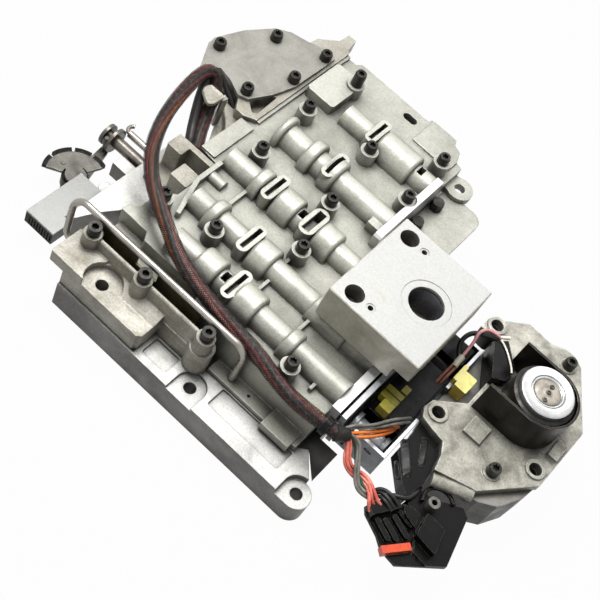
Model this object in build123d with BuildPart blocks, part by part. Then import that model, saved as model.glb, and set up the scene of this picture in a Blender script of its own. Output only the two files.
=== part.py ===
from build123d import *
import os
from math import atan2, degrees, hypot, pi, radians, tan

os.makedirs("parts", exist_ok=True)

# The valve body of an automatic transmission.
# X runs along the valve bores, Y away from the front ears, Z up.
# The origin lies in the base face of the lower casting. Millimetres.

# Levels of the stack, from the base face up
lower_h = 23.0
plate_t = 1.0
upper_h = 26.0
upper_base = lower_h + plate_t
floor_z = upper_base + upper_h
flange_z = upper_base + 13.0
lip_z = upper_base + 3.0
bore_z = floor_z + 2.0
boss_h = 12.0
boss_top = floor_z + boss_h

# Bolt holes through the ears
ear_hole_r = 4.4
land_r = 11.0
front_y = -94.6
front_hole = (-11.7, -82.4)
right_hole = (84.2, -84.0)
left_hole = (-96.3, -82.7)
front_land_depth = 2.5
right_land_depth = 5.0

# Ear at the rear
rear_ear_at = (14.1, 191.5)
rear_ear_r = 10.9
rear_ear_z = (38.0, 44.0)

# Accumulator housing
housing_front_y = -93.0
housing_back_y = -60.0
housing_land_h = 15.5
housing_pad_h = 22.0
housing_rib_h = 30.5
brace_screw_y = -69.0
brace_screw_x = (-122.3, -77.5, -22.2)
brace_boss_r = 6.5
brace_boss_top = upper_base + 33.0

# Bent steel tube
tube_r = 2.4
tube_bore_r = 1.6
tube_z = 62.0
tube_y = -60.0
tube_end_x = 3.0
socket_clearance = 0.2
socket_depth = 2.0
tube_leg_y = -68.0
tube_leg_z = 30.0

# Valve bores: y, first x, last x, wall radius
bore_r = 5.5
valve_clearance = 0.05
valve_r = bore_r - valve_clearance
stem_r = 2.9
wall_r = 9.7
shoulder_r = 14.0
rear_wall_r = 11.0
ring_r = 15.5
front_end_x = 64.0
rear_end_x = 0.0
blind_wall = 3.0
bores = [
    (-27.0, -88.8, front_end_x, wall_r),
    (9.0, -102.5, front_end_x, wall_r),
    (56.0, -110.4, front_end_x, wall_r),
    (107.0, -103.5, rear_end_x, rear_wall_r),
    (162.0, -83.9, rear_end_x, wall_r),
]
# Thicker lengths of the walls, for each bore: first x, last x, radius
barrels = [
    [(-65.3, -47.6, shoulder_r), (-31.0, -12.3, shoulder_r), (12.2, 22.0, 12.5)],
    [(-86.8, -78.0, shoulder_r), (-46.6, -30.0, shoulder_r), (7.3, 40.0, 12.0)],
    [(-84.9, -76.0, shoulder_r), (-64.3, -46.6, shoulder_r), (-27.0, -10.4, shoulder_r)],
    [(-103.5, -97.6, ring_r), (-78.0, -68.2, ring_r), (-58.4, -47.6, ring_r)],
    [(-49.6, -16.3, 14.5)],
]
barrel_corner = 2.5

# Slots for the keepers, for each bore: x and width
slots = [
    [(-34.9, 3.4)],
    [(-52.5, 3.4)],
    [(-70.2, 3.4), (-33.9, 6.2)],
    [(-55.5, 3.4)],
    [(-55.5, 3.2)],
]
slot_length = 22.0
slot_floor = bore_z - bore_r - 1.0
collar_wall = 3.2
collar_top = bore_z + wall_r + 1.0
keeper_gap = 0.3
keeper_top = bore_z + 4.5
keeper_width = 15.0

# Small windows in the walls: bore number, x
windows = [(0, -43.2), (2, -43.2), (4, -11.8)]
window_x = 4.6
window_y = 8.0

# Screws
head_r = 4.6
head_cone = 1.6
recess_r = 1.9
recess_depth = 2.8
head_h = 6.6
shank_r = 2.9
shank_hole_r = 3.2
shank_l = 22.0
screw_boss_r = 7.0
boss_clearance = 0.3
upper_screws_at = [
    (-48.7, 142.3), (-102.0, 132.6), (-3.2, 130.2), (-37.1, 79.2), (-97.7, 72.5),
    (-25.0, 30.8), (-73.0, -6.1), (-112.2, -13.8), (27.9, -44.8), (-6.9, 182.4),
]
tall_screws_at = [(-95.3, 184.9)]
tall_head_h = 12.0

# Machined block
block_x = 13.0
block_y = -4.0
block_w = 76.0
block_d = 89.4
block_base = bore_z + shoulder_r
block_h = 29.6
block_top = block_base + block_h
block_edge = 0.8
block_screw_at = [(24.6, 72.8), (26.9, 6.3)]
block_pin_at = [(38.1, 72.3), (40.4, 6.3)]
cap_hole_r = 7.0
cap_hole_depth = 21.0
cap_head_r = 6.5
cap_head_h = 8.0
cap_shank_r = 4.0
cap_shank_hole_r = 4.4
cap_reach = 16.0
port_at = (63.2, 40.2)
port_r = 12.9
port_face_r = 18.0
port_depth = 27.0
step_w = 13.0
step_h = 12.0

# Cover at the rear left
cover_z = floor_z + 4.0
cover_t = 3.0
cover_screws_at = [(-128.6, 149.2), (-128.1, 188.5), (-163.8, 169.7), (-183.4, 125.0), (-142.3, 109.5)]
bracket_base = floor_z - 8.0
pocket_floor = 1.5
cover_points = [
    (-123.2, 180.8), (-123.6, 146.0), (-128.6, 124.4), (-136.7, 105.6), (-144.2, 102.2),
    (-157.0, 108.0), (-168.9, 110.6), (-177.8, 96.5), (-190.7, 121.0), (-191.6, 129.5),
    (-183.7, 155.1), (-171.0, 178.5), (-161.0, 186.5), (-147.1, 190.5), (-135.3, 196.5), (-123.4, 197.0),
]

# Rear end plate and side plate
rear_plate_t = 6.0
rear_plate_y = (84.0, 168.0)
rear_plate_z = (38.0, 63.0)
side_plate_z = upper_base + 13.0
side_plate_t = 3.0
side_bolts_at = [(11.6, 163.0), (11.6, 135.3)]
side_bolt_r = 5.0

# Plates at the right end of the front bores
stack_y = (-42.1, 83.5)
stack_z = (28.0, 56.0)
end_plate_t = 6.8
insulator_t = 1.8
solenoid_plate_t = 3.8
insulator_x = front_end_x + end_plate_t
solenoid_plate_x = insulator_x + insulator_t
tray_x = solenoid_plate_x + solenoid_plate_t

# Sheet tray
sheet_t = 2.4
tray_right = 110.0
tray_front = -36.6
tray_back = 86.0
tray_base = 20.0
tray_top = 45.0
tray_floor = tray_base + sheet_t

# Pressure unit
module_base_z = 14.0
module_cover_z = 44.0
module_cover_t = 6.0
module_top = module_cover_z + module_cover_t
terminal_points = [(111, 88), (118, 96.5), (134.5, 80.5), (134.5, 68), (126, 62)]
module_screws_at = [(160.1, 122.4), (166.5, 8.5)]
module_holes_at = [(105.0, 106.5), (115.5, 15.0), (187.0, 34.0)]
module_hole_r = 4.8
module_ledge_z = 38.0
boss_reach = 14.0
boss_r = 8.0
lip_start = (140.4, -23.6)
lip_way = (0.9, 0.435, 0.0)
lip_length = 29.0
lip_r = 5.0
solenoid_at = (159.2, 63.4)
solenoid_r = 19.4
coil_r = 22.6
coil_top = 79.0
solenoid_top = 84.0
strap_r = 25.3
strap_t = 1.8
strap_h = 30.0
strap_left = 128.4

# Black connector
connector_base = 28.0
connector_rim = (36.0, 40.0)
connector_top = 46.0
plug_top = 38.0
plug_fingers = [
    ((132.6, -71.2), (144.6, -76.0)), ((136.7, -67.5), (148.4, -72.0)), ((139.6, -61.1), (152.4, -65.6)),
    ((141.0, -55.5), (149.6, -57.4)),
]
finger_w = 3.6
finger_h = 3.6
lock_start = (146.4, -85.0)
lock_end = (158.4, -69.2)
lock_w = 5.0
lock_h = 6.0
lock_groove = 2.0
lock_gap = 0.3
post_at = (151.8, -37.0)

# Left extension, manual valve, plunger, lever and switch
extension_top = 24.0
manual_y = 29.0
manual_z = 13.5
manual_bore_r = 4.8
manual_r = manual_bore_r - valve_clearance
plunger_y = 42.5
plunger_bore_r = 2.9
plunger_r = plunger_bore_r - valve_clearance
extension_left = -155.5
lever_at = (-178.0, -20.5)
lever_z = 17.0
lever_t = 2.4
lever_r = 21.0
lever_shaft_r = 5.0
lever_hub_r = 7.6
lever_running = 0.08
lever_gap = 0.3
lever_arm_z = 0.4
lever_arm_t = 2.6
peg_at = (-189.5, 23.2)
peg_r = 1.5
switch_z = 10.0
switch_h = 12.0
switch_cover_t = 1.6

# Cords
conduit_r = 5.2
lead_r = 1.4
clip_x = 68.0
clip_w = 5.0


def outline(points, low, high, corner=0.0, mode=Mode.ADD):
    """An upright prism over a closed outline, its corners rounded if asked."""
    with BuildSketch(Plane.XY.offset(low)) as profile:
        with BuildLine():
            Polyline(*points, close=True)
        make_face()
        if corner > 0:
            fillet(profile.vertices(), radius=corner)
    extrude(profile.sketch, amount=high - low, mode=mode)


def block(x0, x1, y0, y1, low, high, corner=0.0, mode=Mode.ADD):
    """An upright block between two corners."""
    outline([(x0, y0), (x1, y0), (x1, y1), (x0, y1)], low, high, corner, mode)


def post(at, radius, low, high, mode=Mode.ADD):
    """An upright cylinder."""
    with BuildSketch(Plane.XY.offset(low).move(Location((at[0], at[1], 0)))) as profile:
        Circle(radius)
    extrude(profile.sketch, amount=high - low, mode=mode)


def side_plane(x, y, z):
    """A plane whose first axis runs along X and whose second runs up."""
    return Plane(origin=(x, y, z), x_dir=(1, 0, 0), z_dir=(0, -1, 0))


def end_plane(x, y=0.0, z=0.0):
    """A plane square to X, its first axis along Y and its second up."""
    return Plane(origin=(x, y, z), x_dir=(0, 1, 0), z_dir=(1, 0, 0))


def turned(y, z, points, corner=0.0, mode=Mode.ADD):
    """A solid turned about a line along X from (x, radius) points."""
    first = points[0][0]
    last = points[-1][0]
    with BuildSketch(side_plane(0, y, z)) as profile:
        with BuildLine():
            Polyline((first, 0), *points, (last, 0), close=True)
        make_face()
        if corner > 0:
            fillet(profile.vertices().group_by(Axis.Y)[-1], radius=corner)
    revolve(profile.sketch, axis=Axis((0, y, z), (1, 0, 0)), mode=mode)


def rod(x0, x1, y, z, radius, mode=Mode.ADD):
    """A cylinder along X."""
    with BuildSketch(end_plane(x0, y, z)) as profile:
        Circle(radius)
    extrude(profile.sketch, amount=x1 - x0, mode=mode)


def save(part, name):
    """Label a finished piece and write it to its own file."""
    part.label = name
    export_step(part, f"parts/{name}.step")


def turn_at(before, corner, after):
    """The angle in degrees through which a route turns at a corner."""
    first = Vector(*corner) - Vector(*before)
    second = Vector(*after) - Vector(*corner)
    return first.get_angle(second)


def route_radii(points):
    """The largest arc that each corner of a route allows, in order."""
    radii = []
    for before, corner, after in zip(points, points[1:], points[2:]):
        first = (Vector(*corner) - Vector(*before)).length
        second = (Vector(*after) - Vector(*corner)).length
        half = radians(turn_at(before, corner, after)) / 2
        radii.append(0.45 * min(first, second) / tan(half))
    return radii


def cord(points, radius, name):
    """A round cord along straight runs joined by arcs."""
    radii = route_radii(points)
    with BuildPart() as made:
        with BuildLine() as path:
            FilletPolyline(*points, radius=radii)
        start = path.line @ 0
        with BuildSketch(Plane(origin=start, z_dir=path.line % 0)):
            Circle(radius)
        sweep()
    length = sum(edge.length for edge in path.edges())
    print(name, "radii", [round(r, 1) for r in radii], "length", round(length, 1))
    print(name, "volume", round(made.part.volume), "section by length", round(pi * radius ** 2 * length))
    return made.part


# Lower casting
with BuildPart() as lower_casting:
    outline(
        [
            (-121, front_y), (right_hole[0], front_y), (right_hole[0], right_hole[1] + land_r),
            (70.4, -56.4), (70.4, 83.0), (4, 83.0), (4, 150), (-112, 150), (-121, 140),
        ],
        0, lower_h,
    )
    post(right_hole, right_hole[1] - front_y, 0, lower_h)
    outline(
        [
            (extension_left, 57), (extension_left, -49), (-151.5, -51.4), (-144, -32.7),
            (-127.5, -3.6), (-120, 9), (-120, 57),
        ],
        0, extension_top,
    )
    block(-50.2, -29.2, -88.4, -73.2, lower_h - 2, lower_h, 1.5, Mode.SUBTRACT)
    block(3.8, 64.9, -83.4, -66.8, lower_h - 2, lower_h, 1.5, Mode.SUBTRACT)
    for hole, depth in ((front_hole, front_land_depth), (right_hole, right_land_depth)):
        post(hole, land_r, lower_h - depth, lower_h, Mode.SUBTRACT)
        block(
            hole[0] - land_r, hole[0] + land_r, front_y, hole[1],
            lower_h - depth, lower_h, 0, Mode.SUBTRACT,
        )
    block(
        right_hole[0], right_hole[0] + land_r, right_hole[1], right_hole[1] + land_r,
        lower_h - right_land_depth, lower_h, 0, Mode.SUBTRACT,
    )
    for hole in (front_hole, right_hole, left_hole):
        post(hole, ear_hole_r, 0, lower_h, Mode.SUBTRACT)
    # Pockets in the underside, between cast ribs
    for column in range(4):
        for row in range(3):
            x0 = -114.5 + 39 * column
            y0 = -46 + 40 * row
            block(x0, x0 + 35, y0, y0 + 35, 0, 13, 4, Mode.SUBTRACT)
    # Lug and ear beside the manual valve
    block(-171, extension_left, 10, 20, 4, 18, 0)
    post((-157.5, -11), 5.5, 8, 19)
    # Bores of the manual valve and the throttle plunger
    rod(extension_left, -122, manual_y, manual_z, manual_bore_r, Mode.SUBTRACT)
    rod(extension_left, -130, plunger_y, manual_z, plunger_bore_r, Mode.SUBTRACT)
save(lower_casting.part, "lower_casting")

# Separator plate
with BuildPart() as separator_plate:
    outline(
        [
            (-121, housing_front_y), (-53.4, housing_front_y), (-53.4, -71.6), (-24, -71.6), (-13, -66),
            (37.2, -66), (37.2, -70.7), (60.5, -70.7), (60.5, -64.4), (70.4, -56.4), (86.0, -72.4),
            (86.0, -45), (70.4, -45), (70.4, 83.0), (4, 83.0), (4, 150), (-112, 150), (-119, 142),
            (-119, -20),
            (-121, -25),
        ],
        lower_h, upper_base,
    )
    post(left_hole, ear_hole_r, lower_h, upper_base, Mode.SUBTRACT)
save(separator_plate.part, "separator_plate")

# Accumulator housing: one profile with a rib, cut back at the right
land_z = upper_base + housing_land_h
pad_z = upper_base + housing_pad_h
rib_z = upper_base + housing_rib_h
with BuildPart() as accumulator_housing:
    for start, end, front in ((-121, -53.4, housing_front_y), (-53.4, -24, -71.6)):
        with BuildSketch(end_plane(start)) as profile:
            with BuildLine():
                Polyline(
                    (front, upper_base), (front, land_z), (max(front + 0.5, -80), land_z),
                    (-70, land_z + 4.5), (-68.8, rib_z - 1), (-67.8, rib_z), (-66.6, rib_z),
                    (-65.8, rib_z - 1),
                    (-65.8, upper_base + 18), (housing_back_y, upper_base + 18),
                    (housing_back_y, upper_base),
                    close=True,
                )
            make_face()
        extrude(profile.sketch, amount=end - start)
    block(-133.6, -104.7, housing_front_y, -66.0, pad_z - 10, pad_z, 1.5)
    block(-133.6, -121, -66.0, housing_back_y, pad_z - 10, pad_z - 3)
    post(left_hole, 13.5, land_z, pad_z, Mode.SUBTRACT)
    outline([(-56.4, -93.1), (-53.3, -93.1), (-53.3, -90)], upper_base, land_z, 0, Mode.SUBTRACT)
    post((brace_screw_x[2], -67.5), 8.8, upper_base, upper_base + 20)
    block(-40, -10, housing_back_y, -50, upper_base, upper_base + 30, 0, Mode.SUBTRACT)
    for x in brace_screw_x:
        post((x, brace_screw_y), brace_boss_r, pad_z - 8, brace_boss_top)
    for x in brace_screw_x:
        post((x, brace_screw_y), shank_hole_r, brace_boss_top - shank_l, brace_boss_top, Mode.SUBTRACT)
    post(left_hole, ear_hole_r, upper_base, land_z, Mode.SUBTRACT)
    rod(-121, -121 + socket_depth, tube_leg_y, tube_leg_z, tube_r + socket_clearance, Mode.SUBTRACT)
save(accumulator_housing.part, "accumulator_housing")

# Socket screws of the housing
with BuildPart() as brace_screws:
    for x in brace_screw_x:
        at = (x, brace_screw_y)
        post(at, shank_r, brace_boss_top - shank_l + 1, brace_boss_top)
        post(at, head_r, brace_boss_top, brace_boss_top + 7)
    for x in brace_screw_x:
        with BuildSketch(Plane.XY.offset(brace_boss_top + 3).move(Location((x, brace_screw_y, 0)))) as socket:
            RegularPolygon(2.6, 6)
        extrude(socket.sketch, amount=4, mode=Mode.SUBTRACT)
save(brace_screws.part, "brace_screws")

# Upright brace that carries the tube
brace_t = 1.8
brace_top = tube_z - tube_r - 0.1
with BuildPart() as tube_brace:
    with BuildSketch(side_plane(0, housing_back_y, 0)) as profile:
        with BuildLine():
            Polyline(
                (-124, 37), (-36, 37), (-36, brace_top), (-73, brace_top), (-73, 50), (-91, 50),
                (-91, brace_top), (-124, brace_top), close=True,
            )
        make_face()
        fillet(profile.vertices().sort_by(Axis.Y)[-4:], radius=3)
    extrude(profile.sketch, amount=-brace_t)
save(tube_brace.part, "tube_brace")

# Bent steel tube
tube_points = [
    (-121 + socket_depth, tube_leg_y, tube_leg_z), (-142.5, tube_leg_y, tube_leg_z),
    (-148.0, tube_y, tube_z),
    (tube_end_x, tube_y, tube_z), (tube_end_x, tube_y, lip_z - socket_depth),
]
with BuildPart() as boost_tube:
    with BuildLine() as path:
        FilletPolyline(*tube_points, radius=[7, 9, 10])
    with BuildSketch(Plane(origin=path.line @ 0, z_dir=path.line % 0)):
        Circle(tube_r)
        Circle(tube_bore_r, mode=Mode.SUBTRACT)
    sweep()
save(boost_tube.part, "boost_tube")

# Upper casting
upper_points = [
    (-127, -35.5), (-104, -35.5), (-100, -42), (-50, -42), (-45, -55.2), (front_end_x, -55.2),
    (front_end_x, 84), (rear_end_x, 84), (rear_end_x, 168), (5, 170), (5, 202), (-1, 204), (-5, 214),
    (-12, 217), (-14, 222), (-39, 222), (-40, 218), (-108, 218), (-112, 213), (-121, 213), (-121, 98),
    (-130, 93), (-130, 48), (-112, 46), (-112, 4), (-121, -4), (-121, -24), (-127, -30),
]
with BuildPart() as upper_casting:
    outline(upper_points, upper_base, floor_z)
    block(-125, -46, housing_back_y + brace_t + 1, -35.5, upper_base, flange_z)
    block(-12.4, 62, -65.9, -55.2, upper_base, lip_z)
    block(37.2, 60.5, -70.7, -55.2, upper_base, upper_base + 6)
    block(60.5, front_end_x, -66, -55.2, upper_base, upper_base + 5)
    # Ear and side flange
    post(rear_ear_at, rear_ear_r, rear_ear_z[0], rear_ear_z[1])
    block(4, rear_ear_at[0], rear_ear_at[1] - 9, rear_ear_at[1] + 9, rear_ear_z[0], rear_ear_z[1])
    block(rear_end_x, 22, 122, 176, upper_base + 2, side_plate_z)
    # Raised areas, rims and ribs on the floor
    outline(
        [(-37, 191), (-1, 191), (-1, 203), (-5, 213), (-12, 216), (-14, 221), (-37, 221)],
        floor_z, floor_z + 1.5,
    )
    block(-117.7, -92.1, 152, 192, floor_z, floor_z + 9.5, 3)
    block(-130, -117.5, 48, 92, floor_z, floor_z + 2)
    block(-121, -118.5, 99, 213, floor_z, floor_z + 2.5)
    outline(
        [
            (-112, 46), (-112, 20), (-106, 2), (-101, -12), (-98, -11), (-102.5, 3), (-108.5, 20.5),
            (-108.5, 46),
        ],
        floor_z, floor_z + 6,
    )
    rod(-108, -96, 34, bore_z - 1, 4.6)
    for x, y0, y1 in ((-83.5, 16, 46), (-25, -18, 3), (13, -18, 2), (-27, 16, 45), (46, -42, -34)):
        block(x - 1.2, x + 1.2, y0, y1, floor_z, floor_z + 4)
    # Walls of the bores
    for (y, x0, x1, radius), parts in zip(bores, barrels):
        turned(y, bore_z, [(x0, radius), (x1, radius)])
        block(x0 + 1, x1, y - radius, y + radius, floor_z, bore_z)
        for start, end, r in parts:
            turned(y, bore_z, [(start, r), (end, r)], barrel_corner)
            block(start + 1, end - 1, y - r + 0.2, y + r - 0.2, floor_z, bore_z)
    turned(-27.0, bore_z, [(37.0, 7.5), (59.0, 7.5)])
    # Collars round the keeper slots
    for (y, x0, x1, radius), places in zip(bores, slots):
        for x, width in places:
            length = slot_length + 2 * collar_wall
            with BuildSketch(Plane.XY.offset(floor_z).move(Location((x, y, 0)))) as collar:
                SlotOverall(length, width + 2 * collar_wall, rotation=90)
            extrude(collar.sketch, amount=collar_top - floor_z + radius - wall_r)
    # Stub on the side of the fourth bore
    block(-10.4, rear_end_x, 92, 107, floor_z, bore_z + 7, 0)
    # Pads under the machined block
    block(15, 62, 63, 83.5, floor_z, block_base, 3)
    block(17, 40, 0, 18, floor_z, block_base, 2)
    # Screw bosses
    for at in upper_screws_at + tall_screws_at:
        post(at, screw_boss_r, floor_z, boss_top)
    # Holes
    for (y, x0, x1, radius) in bores:
        rod(x0 + blind_wall, x1, y, bore_z, bore_r, Mode.SUBTRACT)
    for (y, x0, x1, radius), places in zip(bores, slots):
        for x, width in places:
            block(
                x - width / 2, x + width / 2, y - slot_length / 2, y + slot_length / 2,
                slot_floor, boss_top + 10, 0, Mode.SUBTRACT,
            )
    for number, x in windows:
        y = bores[number][0]
        block(
            x - window_x / 2, x + window_x / 2, y - window_y / 2, y + window_y / 2,
            bore_z, boss_top + 10, 0, Mode.SUBTRACT,
        )
    for at in upper_screws_at + tall_screws_at:
        post(at, shank_hole_r, boss_top - shank_l - 1, boss_top, Mode.SUBTRACT)
    for at in block_screw_at:
        post(at, cap_shank_hole_r, block_base - cap_reach - 1, block_base, Mode.SUBTRACT)
    for at in side_bolts_at:
        post(at, shank_hole_r, upper_base + 4, side_plate_z, Mode.SUBTRACT)
    post(rear_ear_at, ear_hole_r, rear_ear_z[0], rear_ear_z[1], Mode.SUBTRACT)
    with BuildSketch(Plane.XY.offset(upper_base).move(Location((-51, 207.2, 0)))) as oblong:
        SlotOverall(12.5, 7)
    extrude(oblong.sketch, amount=upper_h, mode=Mode.SUBTRACT)
    post((18.9, -60.5), 1.2, upper_base, lip_z, Mode.SUBTRACT)
    post((tube_end_x, tube_y), tube_r + socket_clearance, lip_z - socket_depth, lip_z, Mode.SUBTRACT)
save(upper_casting.part, "upper_casting")


def star_screw(at, seat, height, shank):
    """A screw with a plain round head and a six-lobed recess."""
    post(at, shank_r, seat - shank, seat)
    post(at, head_r, seat, seat + height - head_cone)
    with BuildSketch(Plane.XY.offset(seat + height - head_cone).move(Location((at[0], at[1], 0)))) as top:
        Circle(head_r)
    extrude(top.sketch, amount=head_cone, taper=20)
    with BuildSketch(Plane.XY.offset(seat + height).move(Location((at[0], at[1], 0)))) as recess:
        Circle(recess_r)
        with PolarLocations(recess_r, 6):
            Circle(0.4 * recess_r)
    extrude(recess.sketch, amount=-recess_depth, mode=Mode.SUBTRACT)


with BuildPart() as upper_screws:
    for at in upper_screws_at:
        star_screw(at, boss_top, head_h, shank_l - 1)
    for at in tall_screws_at:
        star_screw(at, boss_top, tall_head_h, shank_l - 1)
save(upper_screws.part, "upper_screws")

# Keepers in the slots
with BuildPart() as slot_keepers:
    for (y, x0, x1, radius), places in zip(bores, slots):
        for x, width in places:
            half = width / 2 - keeper_gap
            with BuildSketch(end_plane(x - half, y)) as profile:
                with BuildLine():
                    Polyline(
                        (-keeper_width / 2, slot_floor), (keeper_width / 2, slot_floor),
                        (keeper_width / 2, keeper_top), (-keeper_width / 2, keeper_top), close=True,
                    )
                make_face()
                fillet(profile.vertices().group_by(Axis.Y)[-1], radius=3)
            extrude(profile.sketch, amount=2 * half)
save(slot_keepers.part, "slot_keepers")

# Spools, springs and plugs of the bores
spring_l = 13.0
spring_wire_r = 0.55
spring_r = 3.6
plug_l = 8.0
for number, (y, x0, x1, radius) in enumerate(bores, start=1):
    slot_x, slot_w = slots[number - 1][0]
    seat_x = x0 + blind_wall
    spool_end = slot_x - slot_w / 2
    length_of_spring = spring_l if spool_end - seat_x > 30 else 9.0
    spool_start = seat_x + length_of_spring
    with BuildPart() as spool:
        land = 5.0
        turned(y, bore_z, [(spool_start, valve_r), (spool_start + land, valve_r)])
        turned(y, bore_z, [(spool_end - land, valve_r), (spool_end, valve_r)])
        turned(y, bore_z, [(spool_start + 1, stem_r), (spool_end - 1, stem_r)])
        if spool_end - spool_start > 24:
            middle = (spool_start + spool_end) / 2
            turned(y, bore_z, [(middle - 3, valve_r), (middle + 3, valve_r)])
    save(spool.part, f"shift_valve_{number}")
    with BuildPart() as spring:
        with BuildLine() as coil:
            Helix(
                pitch=(length_of_spring - 2 * spring_wire_r) / 5,
                height=length_of_spring - 2 * spring_wire_r,
                radius=spring_r, center=(seat_x + spring_wire_r, y, bore_z), direction=(1, 0, 0),
            )
        with BuildSketch(Plane(origin=coil.line @ 0, z_dir=coil.line % 0)):
            Circle(spring_wire_r)
        sweep()
    save(spring.part, f"valve_spring_{number}")

with BuildPart() as bore_plugs:
    for (y, x0, x1, radius) in bores:
        turned(y, bore_z, [(x1 - plug_l, valve_r), (x1, valve_r)])
save(bore_plugs.part, "bore_plugs")

# Cover bracket with a pocket, a finger and an arm
with BuildPart() as cover_bracket:
    outline(
        [
            (-121, 98), (-121, 213), (-124, 216), (-126, 229), (-133.5, 229), (-134.2, 217), (-146, 203),
            (-147.5, 189.5), (-160, 185.5), (-170, 177.5), (-182.7, 155), (-190.6, 129.5), (-189.8, 121),
            (-177.5, 97.5), (-168.4, 111.6), (-157, 109), (-144, 103.5), (-137, 93), (-130, 93),
        ],
        bracket_base, cover_z,
    )
    outline(
        [(-137, 94), (-130.3, 94), (-130.3, 77), (-136, 84), (-151, 99), (-144, 104)], bracket_base,
        bracket_base + 3,
    )
    outline([(-164, 112), (-157, 111), (-151.5, 93), (-155, 89.5)], bracket_base, bracket_base + 4)
    outline(
        [(-136, 120), (-126, 128), (-124.5, 103), (-128, 100.5), (-136, 107)],
        bracket_base + pocket_floor, cover_z, 0, Mode.SUBTRACT,
    )
    for at in cover_screws_at:
        post(at, shank_hole_r, bracket_base, cover_z, Mode.SUBTRACT)
save(cover_bracket.part, "cover_bracket")

with BuildPart() as cover_plate:
    outline(cover_points, cover_z, cover_z + cover_t, 1.5)
    for at in cover_screws_at:
        post(at, shank_hole_r, cover_z, cover_z + cover_t, Mode.SUBTRACT)
save(cover_plate.part, "cover_plate")

with BuildPart() as cover_screws:
    for at in cover_screws_at:
        star_screw(at, cover_z + cover_t, head_h, cover_z + cover_t - bracket_base - 1)
save(cover_screws.part, "cover_screws")

# Frame with a square pocket at the left edge
with BuildPart() as rod_bracket:
    block(-147, -112, 14, 45, extension_top, extension_top + 4)
    block(-147, -134, 31, 45, extension_top, floor_z, 1)
    block(-136, -112, 40.5, 45, extension_top, floor_z)
    block(-129, -114, 16, 31, extension_top, floor_z - 4, 1)
save(rod_bracket.part, "rod_bracket")

# Machined block
with BuildPart() as control_block:
    block(block_x, block_x + block_w, block_y, block_y + block_d, block_base, block_top)
    chamfer(control_block.edges(), length=block_edge)
    block(
        block_x + block_w - step_w, block_x + block_w, block_y, block_y + 24,
        block_base, block_base + step_h, 0, Mode.SUBTRACT,
    )
    for at in block_screw_at:
        post(at, cap_hole_r, block_top - cap_hole_depth, block_top, Mode.SUBTRACT)
        post(at, cap_shank_hole_r, block_base, block_top, Mode.SUBTRACT)
    for at in block_pin_at:
        post(at, 3.4, block_top - 0.4, block_top, Mode.SUBTRACT)
        post(at, 2.0, block_top - 12, block_top, Mode.SUBTRACT)
    post(port_at, port_face_r, block_top - 0.4, block_top, Mode.SUBTRACT)
    post(port_at, port_r, block_top - port_depth, block_top, Mode.SUBTRACT)
save(control_block.part, "control_block")

with BuildPart() as block_screws:
    seat = block_top - cap_hole_depth
    for at in block_screw_at:
        post(at, cap_head_r, seat, seat + cap_head_h)
        post(at, cap_shank_r, block_base - cap_reach, seat)
        with BuildSketch(Plane.XY.offset(seat + cap_head_h).move(Location((at[0], at[1], 0)))) as socket:
            RegularPolygon(3.4, 6)
        extrude(socket.sketch, amount=-4, mode=Mode.SUBTRACT)
save(block_screws.part, "block_screws")

# Plate that closes the rear bores
with BuildPart() as bore_end_plate:
    block(
        rear_end_x, rear_end_x + rear_plate_t, rear_plate_y[0], rear_plate_y[1], rear_plate_z[0],
        rear_plate_z[1],
    )
    chamfer(bore_end_plate.edges().filter_by(Axis.X), length=2)
    post(upper_screws_at[2], screw_boss_r + boss_clearance, floor_z, rear_plate_z[1], Mode.SUBTRACT)
save(bore_end_plate.part, "bore_end_plate")

# Side plate and its bolts
with BuildPart() as side_plate:
    with BuildSketch(Plane.XY.offset(side_plate_z)) as profile:
        with BuildLine():
            Polyline((6.4, 112), (44, 112), (44, 186), (6.4, 186), close=True)
        make_face()
        fillet(profile.vertices().group_by(Axis.X)[-1], radius=10)
        with Locations(rear_ear_at):
            Circle(rear_ear_r + 0.4, mode=Mode.SUBTRACT)
    extrude(amount=side_plate_t)
    block(
        6.4, rear_ear_at[0] + 0.4, rear_ear_at[1] - 9.4, 190, side_plate_z,
        side_plate_z + side_plate_t, 0, Mode.SUBTRACT,
    )
    for at in side_bolts_at:
        post(at, shank_hole_r, side_plate_z, side_plate_z + side_plate_t, Mode.SUBTRACT)
save(side_plate.part, "side_plate")

with BuildPart() as side_bolts:
    seat = side_plate_z + side_plate_t
    for at in side_bolts_at:
        post(at, shank_r, upper_base + 5, seat)
        with BuildSketch(Plane.XY.offset(seat).move(Location((at[0], at[1], 0)))) as head:
            RegularPolygon(side_bolt_r, 6)
        extrude(head.sketch, amount=7)
        post(at, 4.6, seat + 7, seat + 7.8)
save(side_bolts.part, "side_bolts")

# Upright plates at the right end of the front bores
with BuildPart() as valve_end_plate:
    block(front_end_x, insulator_x, stack_y[0], stack_y[1], stack_z[0], stack_z[1] + 1)
save(valve_end_plate.part, "valve_end_plate")

with BuildPart() as insulator_plate:
    block(insulator_x, solenoid_plate_x, stack_y[0] + 0.5, stack_y[1], stack_z[0], stack_z[1] - 2)
save(insulator_plate.part, "insulator_plate")

with BuildPart() as solenoid_plate:
    block(solenoid_plate_x, tray_x, stack_y[0], stack_y[1], stack_z[0] - 4, stack_z[1])
    block(solenoid_plate_x, tray_x, -47, stack_y[0], stack_z[0] + 14, stack_z[1] - 8)
save(solenoid_plate.part, "solenoid_plate")

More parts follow.
